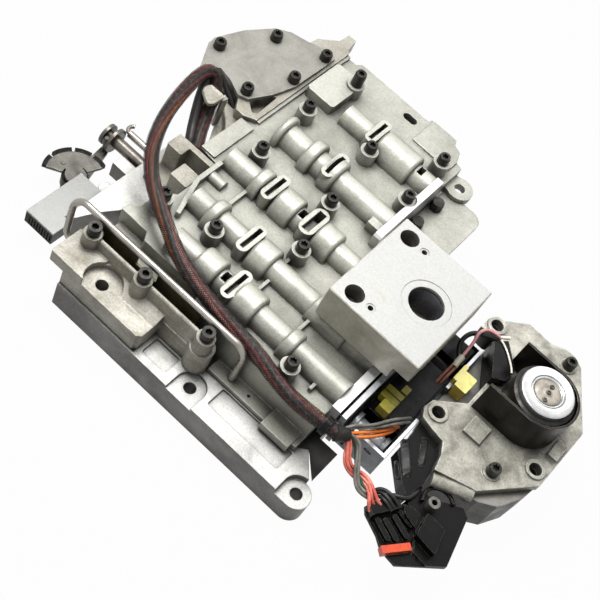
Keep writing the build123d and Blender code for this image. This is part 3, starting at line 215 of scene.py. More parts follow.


# Each finish: the solids that are dressed in it, its material's name, its three tones, the size of its grain,
# the height of that grain, the size of its stains and the rounding of its edges in millimetres, the colour
# and the share of its rubbed edges, which also carry a painted glint, and what else sets it apart
FINISH_TABLE = {
    # Gravity-cast aluminium, shot blasted: silky grey with a fine pimpled skin, its upward faces painted
    # paler as light from above
    "blasted_casting": (
        ["upper_casting", "side_plate"], "blasted_cast_aluminium", ("#8B8A81", "#A09F95", "#B0AFA5"), 1.5,
        0.10, 40, 1.3, "#EDECE7", 0.8,
        dict(metallic=0.30, roughness=0.46, speck=0.14, grime_and_shade="#191713", grime_and_shade_mm=13.0,
             upper=("#B4B3A9", 58)),
    ),
    # The same alloy after years in oil: a little warmer
    "warm_casting": (
        ["accumulator_housing", "cover_bracket", "rod_bracket"], "aged_cast_aluminium",
        ("#7D7969", "#99958A", "#ACA89C"), 1.5, 0.10, 24, 1.1, "#E6E3D8", 0.8,
        dict(metallic=0.22, roughness=0.46, speck=0.22, grime_and_shade="#191713", grime_and_shade_mm=8.0),
    ),
    # The cover of the pressure unit: die cast, dull and patchy, with bright rims that are worn and partly a
    # painted glint
    "cover_casting": (
        ["module_cover"], "die_cast_aluminium", ("#6B685E", "#9B988D", "#BFBCAF"), 1.2, 0.08, 13, 1.5,
        "#F4F1E8", 1.0,
        dict(metallic=0.25, roughness=0.42, speck=0.22, grime_and_shade="#15130F", grime_and_shade_mm=10.0),
    ),
    # The plate on the cover: flat and even, its edges rubbed pale
    "cover_plate": (
        ["cover_plate"], "flat_cast_plate", ("#6F6D66", "#89877F", "#99978F"), 1.2, 0.05, 30, 0.6, "#E8E6DF",
        0.9,
        dict(metallic=0.22, roughness=0.46, speck=0.12, grime_and_shade="#1D1B17", grime_and_shade_mm=7.0),
    ),
    # The bottom housing: greyer, its upward faces painted pale as light from above, so that its sides stay
    # dull and dark
    "dark_casting": (
        ["lower_casting"], "oily_cast_aluminium", ("#5D5B57", "#73716D", "#86847F"), 1.3, 0.08, 30, 1.3,
        "#D6D4CF", 0.7,
        dict(metallic=0.2, roughness=0.48, speck=0.16, grime_and_shade="#171614", grime_and_shade_mm=9.0, upper=("#CDCCC7", 2)),
    ),
    # The body of the pressure unit, nearly black with baked oil, its upward faces painted paler as light from
    # above
    "sooty_casting": (
        ["module_base"], "oil_stained_cast_aluminium", ("#242220", "#353330", "#484642"), 1.1, 0.06, 20, 1.2,
        "#A8A59D", 0.7,
        dict(metallic=0.4, roughness=0.4, speck=0.15, grime_and_shade="#100F0D", upper=("#86847D", 37)),
    ),
    # Face-milled aluminium: near white, faint cutter lines along one way
    "milled": (
        ["bore_end_plate", "bore_plugs"], "milled_aluminium", ("#A2A2A0", "#BDBDBB", "#D2D2D0"), 0.5, 0.010,
        90, 0.5, "#F4F4F2", 0.8,
        dict(metallic=0.35, roughness=0.36, rough_change=0.08, stretch=(0.08, 1.0, 1.0), speck=0.05,
             grime_and_shade="#2E2D29", grime_and_shade_mm=16.0),
    ),
    # The block: milled bright on top, its sides sawn and stained a little brown
    "milled_block": (
        ["control_block"], "milled_and_stained_aluminium", ("#9D998D", "#BBB7AB", "#D3D0C5"), 1.6, 0.016, 26,
        0.5, "#F4F4F2", 0.8,
        dict(metallic=0.30, roughness=0.40, rough_change=0.08, speck=0.08, grime_and_shade="#2E2B24", grime_and_shade_mm=14.0,
             upper=("#AFAFAC", 70)),
    ),
    # The same milling on the end plates, their narrow tops painted near white as a highlight
    "milled_strip": (
        ["valve_end_plate"], "milled_aluminium_strip", ("#8E8E8D", "#A6A6A5", "#BBBBBA"), 0.5, 0.010, 90, 0.5,
        "#F6F6F4", 0.8,
        dict(metallic=0.3, roughness=0.36, rough_change=0.08, speck=0.05, grime_and_shade="#4A4946", grime_and_shade_mm=5.0,
             upper=("#FAFAF8", 50)),
    ),
    # Plating on a narrow strip: cool grey, its top edge painted pale as a highlight
    "plated_strip": (
        ["solenoid_plate"], "zinc_plated_strip", ("#77797B", "#8E9092", "#A2A4A6"), 2.4, 0.012, 22, 0.4,
        "#E4E6E6", 0.7,
        dict(metallic=0.4, roughness=0.36, speck=0.1, grime_and_shade="#3A3A3C", grime_and_shade_mm=3.0, upper=("#DCDEE0", 50)),
    ),
    # The connector's post: bare steel under a film of dust
    "dusty_steel": (
        ["connector_post"], "dusty_drawn_steel", ("#3F3E3B", "#5C5A56", "#777570"), 0.5, 0.01, 4, 0.4,
        "#A9A69E", 0.5,
        dict(metallic=0.3, roughness=0.5, speck=0.3, grime_and_shade="#12110F", grime_and_shade_mm=5.0),
    ),
    # The tapped port: turned aluminium in dark tones, painted shade inside the deep bore
    "tapped_port": (
        [], "tapped_aluminium_bore", ("#3E3E41", "#5B5B5F", "#7A7A7E"), 0.5, 0.010, 14, 0.2, "#B9B9BC", 0.6,
        dict(metallic=0.6, roughness=0.30, speck=0.08, grime_and_shade="#141416"),
    ),
    # Pressed steel lever, rubbed bright only where it turns, those edges also a painted glint
    "lever_steel": (
        ["detent_lever"], "pressed_lever_steel", ("#403D38", "#5F5C55", "#7C7870"), 1.0, 0.03, 12, 0.5,
        "#DAD7CF", 0.9,
        dict(metallic=0.45, roughness=0.38, speck=0.18, grime_and_shade="#161411", grime_and_shade_mm=5.0),
    ),
    # The switch's lid: bright rolled tin plate, nearly even
    "lid_sheet": (
        ["switch_cover"], "rolled_tin_plate", ("#7F7F7D", "#8D8D8A", "#9B9B97"), 1.5, 0.010, 60, 0.4,
        "#EEEFEF", 0.8,
        dict(metallic=0.35, roughness=0.34, speck=0.06, grime_and_shade="#2A2A2C"),
    ),
    # The insulating disc in the solenoid's cap: dull and a little brown
    "cap_disc": (
        [], "pressed_phenolic_disc", ("#857D70", "#A29B8E", "#B9B3A7"), 0.6, 0.01, 5, 0.2, "#D9D4C8", 0.5,
        dict(metallic=0.1, roughness=0.42, speck=0.15, grime_and_shade="#2B2620", grime_and_shade_mm=1.5),
    ),
    # Turned and zinc plated: mirror-like rings, faint tool marks round the axis
    "turned_cap": (
        [], "turned_zinc_plated_steel", ("#A9AAA9", "#C2C3C2", "#D3D4D3"), 0.5, 0.008, 12, 0.2, "#F4F4F2",
        0.6,
        dict(metallic=0.75, roughness=0.24, rough_change=0.08, speck=0.05, grime_and_shade="#23221F", grime_and_shade_mm=3.0),
    ),
    # Blackened screws: near black, with a painted brown glint on their rims
    "black_oxide": (
        [
            "upper_screws", "cover_screws", "module_screws", "brace_screws", "side_bolts",
        ],
        "black_oxide_steel", ("#191816", "#282623", "#3A3733"), 0.6, 0.02, 6, 0.35, "#8E887D", 0.5,
        dict(metallic=0.6, roughness=0.4, speck=0.2, grime_and_shade="#0C0B0A", grime_and_shade_mm=2.0),
    ),
    # Phosphated screws and keepers: dull mid grey; on the keepers this dark grey also stands in as painted
    # shade in their slots
    "grey_screw": (
        ["block_screws", "slot_keepers"], "phosphated_steel", ("#3A3835", "#55524E", "#6E6B66"), 0.6, 0.02, 6,
        0.35, "#A8A399", 0.5,
        dict(metallic=0.6, roughness=0.42, speck=0.2, grime_and_shade="#12110F", grime_and_shade_mm=3.0),
    ),
    # The strap: dark rolled sheet with a pale cut edge
    "dark_sheet": (
        ["solenoid_strap"], "dark_rolled_sheet", ("#15120F", "#231F1B", "#302B25"), 0.6, 0.015, 14, 0.4,
        "#B5AFA5", 0.9,
        dict(metallic=0.6, roughness=0.34, stretch=(0.2, 1.0, 1.0), speck=0.12),
    ),
    # The plate between the castings: spring steel in near black tones, painted shade in its slit
    "oiled_plate": (
        ["separator_plate"], "oiled_spring_steel_plate", ("#0E0D0C", "#161412", "#211E1B"), 0.6, 0.015, 14,
        0.2, "#6F6A61", 0.6,
        dict(metallic=0.4, roughness=0.42, stretch=(0.2, 1.0, 1.0), speck=0.12),
    ),
    # The tube's brace: tempered brown, rubbed at its edges
    "brown_sheet": (
        ["tube_brace"], "tempered_steel_strip", ("#3A3423", "#544C35", "#6E6548"), 0.7, 0.02, 12, 0.4,
        "#C2B8A0", 0.7,
        dict(metallic=0.5, roughness=0.42, speck=0.15),
    ),
    # Drawn tube and plunger: smooth satin grey, streaked lengthwise
    "satin_steel": (
        ["boost_tube", "throttle_plunger"], "satin_drawn_steel", ("#7E7A74", "#96928B", "#AAA7A0"), 0.5,
        0.008, 20, 0.3, "#D0CEC8", 0.5,
        dict(metallic=0.7, roughness=0.28, rough_change=0.08, stretch=(0.1, 1.0, 1.0), speck=0.06,
             grime_and_shade="#24221F"),
    ),
    # The manual valve: browned, darker than the castings
    "dark_steel": (
        ["manual_valve"], "browned_steel", ("#4A4641", "#656059", "#7D7870"), 0.5, 0.01, 14, 0.3, "#B9B5AD",
        0.6,
        dict(metallic=0.7, roughness=0.34, rough_change=0.08, speck=0.1, grime_and_shade="#171512"),
    ),
    # Spools and springs: ground smooth, they glint in their slots
    "ground_steel": (
        [f"shift_valve_{i}" for i in range(1, 6)] + [f"valve_spring_{i}" for i in range(1, 6)],
        "ground_spool_steel", ("#6E6862", "#8A837C", "#A39C95"), 0.4, 0.006, 14, 0.3, "#C8C4BD", 0.4,
        dict(metallic=0.8, roughness=0.25, speck=0.06, grime_and_shade="#1E1C19"),
    ),
    # The solenoid's shell: cool plated sheet with faint spangles
    "plated_sheet": (
        ["lockup_solenoid"], "zinc_plated_sheet", ("#77797B", "#8E9092", "#A2A4A6"), 2.4, 0.012, 22, 0.4,
        "#E4E6E6", 0.7,
        dict(metallic=0.45, roughness=0.36, speck=0.1, grime_and_shade="#1E1E20"),
    ),
    # The same sheet in the tray, in darker tones as painted shade on its sides; its cut rim is bare metal
    # painted bright as a highlight
    "tray_sheet": (
        ["wiring_tray"], "zinc_plated_tray", ("#55575A", "#6B6D70", "#7F8183"), 2.4, 0.012, 22, 0.4,
        "#D4D6D6", 0.7,
        dict(metallic=0.45, roughness=0.38, speck=0.1, grime_and_shade="#161618", grime_and_shade_mm=10.0,
             rim=(44.85, "#E9EAEC")),
    ),
    # Mouldings: deep black with a weak sheen and greyed edges, worn and partly a painted glint
    "black_plastic": (
        [
            "cable_clip", "connector_housing", "cable_guide", "coil_housing", "overdrive_solenoid",
            "terminal_block", "insulator_plate", "switch_body", "sector_pads",
        ],
        "moulded_glass_filled_nylon", ("#070706", "#0D0C0C", "#161514"), 0.6, 0.03, 12, 0.5, "#8E8A82", 0.7,
        dict(metallic=0.0, roughness=0.30, rough_change=0.14, speck=0.2, IOR=1.53,
             **{"Specular IOR Level": 0.12}),
    ),
    # The square plug: warm yellow, its top painted paler as light from above
    "yellow_plastic": (
        ["square_plug"], "moulded_yellow_pbt", ("#B0922A", "#C4A83A", "#D4BC50"), 0.4, 0.01, 8, 0.4,
        "#F6F0B4", 0.6,
        dict(metallic=0.0, roughness=0.36, speck=0.05, IOR=1.55, grime_and_shade="#4A3A12", grime_and_shade_mm=2.5,
             upper=("#E6DC86", 40)),
    ),
    # The small plugs: dull olive yellow
    "olive_plastic": (
        ["yellow_plugs"], "moulded_olive_pbt", ("#857E1E", "#A29A2E", "#B4AC44"), 0.4, 0.01, 8, 0.3,
        "#CFC66C", 0.4,
        dict(metallic=0.0, roughness=0.4, speck=0.06, IOR=1.55, grime_and_shade="#2A2708", grime_and_shade_mm=2.5),
    ),
    # The connector's lock: strong orange
    "orange_plastic": (
        ["connector_lock"], "moulded_orange_pbt", ("#B93408", "#D2420E", "#E8561A"), 0.4, 0.01, 5, 0.3,
        "#F8935A", 0.5,
        dict(metallic=0.0, roughness=0.34, speck=0.05, IOR=1.55, grime_and_shade="#5A1604", grime_and_shade_mm=2.0),
    ),
    # PVC insulation: soft sheen, nearly even colour
    **{
        name: (
            [], name, tones, 0.5, 0.006, 9, 0.1,
            dict(metallic=0.0, roughness=0.42, speck=0.05, IOR=1.54, grime_and_shade="#14110F", grime_and_shade_mm=1.2,
                 **{"Specular IOR Level": 0.3}),
        )
        for name, tones in (
            ("salmon_wire", ("#C4564A", "#E07A6A", "#F2A391")),
            ("orange_wire", ("#D9651C", "#EA7A2C", "#F29450")),
            ("grey_wire", ("#55544E", "#6E6D66", "#88867E")),
            ("green_wire", ("#1F3A2C", "#2C4A3A", "#3F6350")),
            ("black_wire", ("#100F0E", "#191817", "#252422")),
            ("pink_wire", ("#C9848A", "#D9989C", "#E6B0B2")),
            ("brown_wire", ("#6E4434", "#8A5A46", "#A5745C")),
            ("clear_sleeve", ("#D9D4C4", "#E6E2D4", "#F0EDE2")),
            ("beige_sleeve", ("#A9A48E", "#BDB8A3", "#CFCBB8")),
            ("red_wire", ("#7C1A14", "#A62A20", "#C23E2E")),
        )
    },
    # Cloth tape, soaked with oil: dull black with a fine thread
    "cloth_tape": (
        [], "oiled_cloth_tape", ("#0C0B0A", "#161412", "#221F1C"), 0.5, 0.03, 8, 0.1,
        dict(metallic=0.0, roughness=0.6, speck=0.3, IOR=1.5, **{"Specular IOR Level": 0.3}),
    ),
    # Polyester monofilament, woven: near black with a silky grey glint
    "braid_dark": (
        [], "woven_black_polyester", ("#0C0B0A", "#151210", "#221D1A"), 0.4, 0.01, 6, 0.05,
        dict(metallic=0.0, roughness=0.52, speck=0.25, IOR=1.57, **{"Specular IOR Level": 0.28}),
    ),
    # The paler strands, which make the weave show
    "braid_pale": (
        [], "woven_grey_polyester", ("#2C2622", "#3C342F", "#50463F"), 0.4, 0.01, 6, 0.05,
        dict(metallic=0.0, roughness=0.5, speck=0.25, IOR=1.57, **{"Specular IOR Level": 0.3}),
    ),
}

FINISHES = {}


def finishes():
    """All materials by name, made once."""
    if not FINISHES:
        for finish, (_, *values, more) in FINISH_TABLE.items():
            FINISHES[finish] = worked_surface(*values, **more)
    return FINISHES


def dress(piece, material):
    """Gives a piece one material."""
    piece.data.materials.clear()
    piece.data.materials.append(material)
    return piece


def traced(places_mm, steps=8):
    """Places along a smooth run, read from its spline."""
    curve = bpy.data.curves.new("run", "CURVE")
    curve.dimensions = "3D"
    curve.resolution_u = steps
    spline = curve.splines.new("NURBS")
    spline.points.add(len(places_mm) - 1)
    for point, place in zip(spline.points, places_mm):
        point.co = (*(c * MM for c in place), 1.0)
    spline.order_u = 3
    spline.use_endpoint_u = True
    holder = bpy.data.objects.new("run", curve)
    mesh = bpy.data.meshes.new_from_object(holder)
    places = [v.co.copy() for v in mesh.vertices]
    bpy.data.objects.remove(holder)
    bpy.data.curves.remove(curve)
    bpy.data.meshes.remove(mesh)
    return places


def frames_along(places):
    """For each place of a run: how far along it is, its way, and two directions across it."""
    ways = [(b - a).normalized() for a, b in zip(places, places[1:])]
    ways.append(ways[-1])
    across = ways[0].cross(Vector((0.0, 0.0, 1.0))).normalized()
    gone = 0.0
    made = []
    for i, (place, way) in enumerate(zip(places, ways)):
        if i:
            gone += (place - places[i - 1]).length
        across = (across - way * across.dot(way)).normalized()
        made.append((place, gone, way, across, way.cross(across)))
    return made


def on_turn(frame_here, radius, angle):
    """A point beside a run, at a radius and an angle round it."""
    place, _, _, across, up = frame_here
    return place + (across * math.cos(angle) + up * math.sin(angle)) * radius


def skin(rows, slot, into, ring=True):
    """Adds a surface through rows of points to a list of points, faces and slots."""
    points, faces, slots = into
    start = len(points)
    wide = len(rows[0])
    for row in rows:
        points.extend(row)
    for i in range(len(rows) - 1):
        for j in range(wide if ring else wide - 1):
            k = (j + 1) % wide
            a, b = start + i * wide, start + (i + 1) * wide
            faces.append((a + j, a + k, b + k, b + j))
            slots.append(slot)


def close_off(row, slot, into):
    """Closes the end of a surface with one face."""
    points, faces, slots = into
    start = len(points)
    points.extend(row)
    faces.append(tuple(range(start, start + len(row))))
    slots.append(slot)


def closed_skin(rows, slot, into):
    """Adds a surface through rings of points, closed at both ends."""
    skin(rows, slot, into)
    close_off(list(reversed(rows[0])), slot, into)
    close_off(rows[-1], slot, into)


def pieces_mesh(name, into, wears, body="casting", stands_for=(), smooth=True):
    """An object from points, faces and slots, which wears some finishes and rides on a body."""
    points, faces, slots = into
    mesh = bpy.data.meshes.new(name)
    mesh.from_pydata([tuple(p) for p in points], [], faces)
    for polygon, slot in zip(mesh.polygons, slots):
        polygon.material_index = slot
        polygon.use_smooth = smooth
    mesh.update()
    piece = bpy.data.objects.new(name, mesh)
    bpy.context.scene.collection.objects.link(piece)
    for finish in wears:
        mesh.materials.append(finishes()[finish])
    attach(piece, body)
    if stands_for:
        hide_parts(*stands_for)
    return piece


def strand(frames_here, radius, slot, into, sides=10, offset=0.0, turns=0.0, phase=0.0):
    """A round wire that winds round a run and closes at both ends."""
    whole = frames_here[-1][1]
    centres = []
    for here in frames_here:
        angle = phase + 2 * math.pi * turns * here[1] / whole
        centres.append(on_turn(here, offset, angle))
    rows = []
    for here in frames_along(centres):
        rows.append([on_turn(here, radius, 2 * math.pi * j / sides) for j in range(sides)])
    closed_skin(rows, slot, into)


def length(name, description, default):
    """A setting in metres."""
    return FloatProperty(name=name, description=description, default=default, unit="LENGTH")


class StageSettings(PropertyGroup):
    """Camera, floor and lamps."""

    lens: FloatProperty(
        name="Lens", description="Focal length on a 36 mm sensor", default=75.0, unit="CAMERA"
    )
    floor_colour: FloatVectorProperty(
        name="Floor", description="Colour of the floor and backdrop", subtype="COLOR", size=3,
        default=(0.30, 0.30, 0.30),
    )
    key_power: FloatProperty(
        name="Key lamp", description="Power of the lamp overhead", default=13.5, unit="POWER"
    )
    fill_power: FloatProperty(
        name="Fill lamp", description="Power of the lamp at the front", default=1.2, unit="POWER"
    )


class VALVEBODY_OT_stage(Operator):
    """Makes the pale floor, the soft lamps and the camera"""

    bl_idname = "valvebody.stage"
    bl_label = "Stage"

    def execute(self, context):
        settings = context.scene.valvebody_stage
        low, high = CAD_BOX
        centre = (Vector(low) + Vector(high)) / 2
        side = 4.0
        mesh = bpy.data.meshes.new("floor")
        corners = [(x * side, y * side, low[2]) for x, y in ((-1, -1), (1, -1), (1, 1), (-1, 1))]
        mesh.from_pydata(corners, [], [(0, 1, 2, 3)])
        floor = bpy.data.objects.new("floor", mesh)
        context.scene.collection.objects.link(floor)
        # The floor is paper white to the camera and in reflections, and keeps a faint shadow
        m = blank("white_paper_floor")
        path = add(m, "ShaderNodeLightPath")
        seen = maths(m, "MAXIMUM", path.outputs["Is Camera Ray"], path.outputs["Is Glossy Ray"])
        grain = add(m, "ShaderNodeTexNoise", {"Scale": 6.0, "Detail": 2.0}).outputs["Fac"]
        tone = blend_colour(m, spread(m, grain, 0.3, 0.7), (*settings.floor_colour, 1.0), linear("#9A9A98"))
        paper = add(m, "ShaderNodeBsdfDiffuse", {"Color": tone})
        glow = add(m, "ShaderNodeEmission", {"Color": linear("#FFFFFF"), "Strength": 1.0})
        share = maths(m, "MULTIPLY", seen, 0.975)
        mixed = add(m, "ShaderNodeMixShader", {0: share, 1: paper.outputs[0], 2: glow.outputs[0]})
        dress(floor, finish_off(m, mixed.outputs[0]))

        world = bpy.data.worlds.new("studio")
        world.use_nodes = True
        world.node_tree.nodes.clear()
        path = add(world, "ShaderNodeLightPath")
        seen = maths(world, "MAXIMUM", path.outputs["Is Camera Ray"], path.outputs["Is Glossy Ray"])
        seen = maths(world, "MAXIMUM", seen, path.outputs["Is Transmission Ray"])
        soft = add(world, "ShaderNodeBackground", {"Color": linear("#EDEFF2"), "Strength": 0.20})
        white = add(world, "ShaderNodeBackground", {"Color": linear("#FFFFFF"), "Strength": 1.0})
        sky = add(world, "ShaderNodeMixShader", {0: seen, 1: soft.outputs[0], 2: white.outputs[0]})
        add(world, "ShaderNodeOutputWorld", {"Surface": sky.outputs[0]})
        context.scene.world = world

        lamps = (
            ("key", (-0.28, 0.12, 0.95), 0.50, settings.key_power),
            ("back", (0.05, 0.95, 0.75), 0.7, 2.5 * settings.fill_power),
            ("front", (-0.30, -0.95, 0.85), 0.9, settings.fill_power),
        )
        for name, place, size, power in lamps:
            lamp = bpy.data.lights.new(name, "AREA")
            lamp.energy = power
            lamp.size = size
            holder = bpy.data.objects.new(name, lamp)
            holder.location = place
            holder.rotation_euler = (centre - Vector(place)).to_track_quat("-Z", "Y").to_euler()
            context.scene.collection.objects.link(holder)

        lens = bpy.data.cameras.new("view")
        lens.lens = settings.lens
        lens.sensor_width = 36.0
        lens.clip_start = 0.01
        camera = bpy.data.objects.new("view", lens)
        # The view's own axes in the frame, and then its place
        right = Vector((0.73134971, 0.60320104, 0.31823907))
        down = Vector((0.66612887, -0.53170156, -0.52303516))
        ahead = Vector((-0.14628715, 0.59450985, -0.79066941))
        turn = Matrix((right, -down, -ahead)).transposed().to_4x4()
        camera.matrix_world = Matrix.Translation((0.119955, -0.487498, 0.708349)) @ turn
        context.scene.collection.objects.link(camera)
        context.scene.camera = camera
        context.scene.view_settings.view_transform = "Standard"
        return {"FINISHED"}


class VALVEBODY_OT_finishes(Operator):
    """Gives each solid of the frame its real finish"""

    bl_idname = "valvebody.finishes"
    bl_label = "Finishes"

    def execute(self, context):
        made = finishes()
        done = set()
        for finish, (nodes, *_) in FINISH_TABLE.items():
            for name in nodes:
                dress(NODES[name], made[finish])
                done.add(name)
        left = set(NODES) - done - REPLACED
        if left:
            raise RuntimeError(f"no finish for {sorted(left)}")
        return {"FINISHED"}


class LoomSettings(PropertyGroup):
    """The braided loom and the wires in it."""

    sleeve: length("Sleeve radius", "Radius of the braided sleeve", 0.0052)
    strands: IntProperty(name="Strands", description="Strands that wind each way", default=16, min=8, max=32)
    strand_width: length("Strand width", "Width of one flat strand", 0.00050)
    wire: length("Wire radius", "Radius of one wire", 0.00145)


# The loom's run over the castings, in millimetres
LOOM_RUN = [
    (-135, 53, 38), (-141.5, 62, 40), (-147.5, 73, 44.5), (-153, 84, 50.5), (-158.2, 92.5, 58),
    (-163.2, 94.4, 65.2),
    (-167.3, 89.5, 69), (-167.6, 78, 69.5), (-162.5, 52, 70), (-154.5, 26.1, 70), (-141.5, 1.5, 70.5),
    (-126.4, -14.8, 71), (-109.7, -26.2, 71), (-92, -35, 69), (-69.2, -45.6, 65), (-41.8, -49.8, 61.5),
    (-15, -50.9, 58.5), (4.5, -51.6, 58), (27.6, -56.8, 57), (41.5, -58.6, 57), (61, -58, 57.5),
    (78.5, -55.4, 58),
]

# The taped hoses beside the loom, in millimetres, and their thickness as a share of the sleeve's
TAIL_RUNS = [
    ([
        (-167, 95, 66), (-166.6, 92.5, 64.5), (-165.2, 88.5, 61.5), (-162.4, 82.5, 57.5), (-158.4, 75.6, 52),
        (-152.2, 66.8, 44.5), (-147.6, 60.2, 41.5), (-142.5, 53.5, 39.5), (-141.5, 52.2, 37.5),
    ], 0.72),
    ([
        (-166, 101, 62), (-162.3, 103.5, 58.5), (-156.5, 103.4, 53), (-148.6, 102.4, 48), (-141, 101, 42),
        (-134, 98, 37),
    ], 0.5),
]


class VALVEBODY_OT_loom(Operator):
    """Weaves the loom's sleeve round its wires and lays the hoses beside it"""

    bl_idname = "valvebody.loom"
    bl_label = "Loom"

    def execute(self, context):
        settings = context.scene.valvebody_loom
        run = frames_along(traced(LOOM_RUN, 26))
        whole = run[-1][1]
        colours = ["salmon_wire", "black_wire", "orange_wire", "red_wire", "black_wire", "red_wire"]
        count = len(colours)
        slots = ["braid_dark", "braid_pale"] + colours
        into = ([], [], [])
        wires = run[::2] + [run[-1]]
        twist = 1.6
        for i in range(count):
            strand(wires, settings.wire, 2 + i, into, 8, settings.wire * 2.1, twist, 2 * math.pi * i / count)
        strand(wires, settings.wire * 1.2, slots.index("black_wire"), into, 8)
        lie = math.radians(52)
        pitch = 2 * math.pi * settings.sleeve / math.tan(lie)
        weave_height, ridge_height = 0.00012, 0.00016
        pinch_depth, pinch_from_end, pinch_width = 0.12, 0.008, 0.006
        for turn in (1, -1):
            for i in range(settings.strands):
                slot = 1 if i % 4 == (turn > 0) else 0
                rows = []
                for here in run:
                    angle = 2 * math.pi * (i / settings.strands + turn * here[1] / pitch)
                    # Each strand dips under two of the others and rises over the next two
                    lift = weave_height * math.sin(settings.strands * angle * 0.5 + i)
                    # The sleeve is pinched where the clip holds it
                    from_clip = ((whole - here[1]) - pinch_from_end) / pinch_width
                    pinch = 1.0 - pinch_depth * math.exp(-from_clip ** 2)
                    # Each wire pushes the sleeve out in a soft ridge
                    ridge = ridge_height * math.cos(count * (angle - 2 * math.pi * twist * here[1] / whole))
                    radius = (settings.sleeve + lift + ridge) * pinch
                    half = 0.5 * settings.strand_width / radius
                    shift = here[2] * (0.5 * settings.strand_width * math.sin(lie)) * turn
                    low = on_turn(here, radius, angle - half * math.cos(lie)) + shift
                    high = on_turn(here, radius, angle + half * math.cos(lie)) - shift
                    rows.append([low, high])
                skin(rows, slot, into, ring=False)
        pieces_mesh("braided_loom", into, slots, stands_for=("conduit",))
        # Taped black hoses come down beside the loom's lower leg and behind it
        tail = ([], [], [])
        for places, share in TAIL_RUNS:
            strand(frames_along(traced(places, 10)), settings.sleeve * share, 0, tail, 16)
        pieces_mesh("loom_tail", tail, ["braid_dark"])
        return {"FINISHED"}


class LeadSettings(PropertyGroup):
    """The single wires that leave the loom."""

    wire: length("Wire radius", "Radius of one wire", 0.00118)
    tape: length("Tape radius", "Radius of the tape round the loom's end", 0.0056)


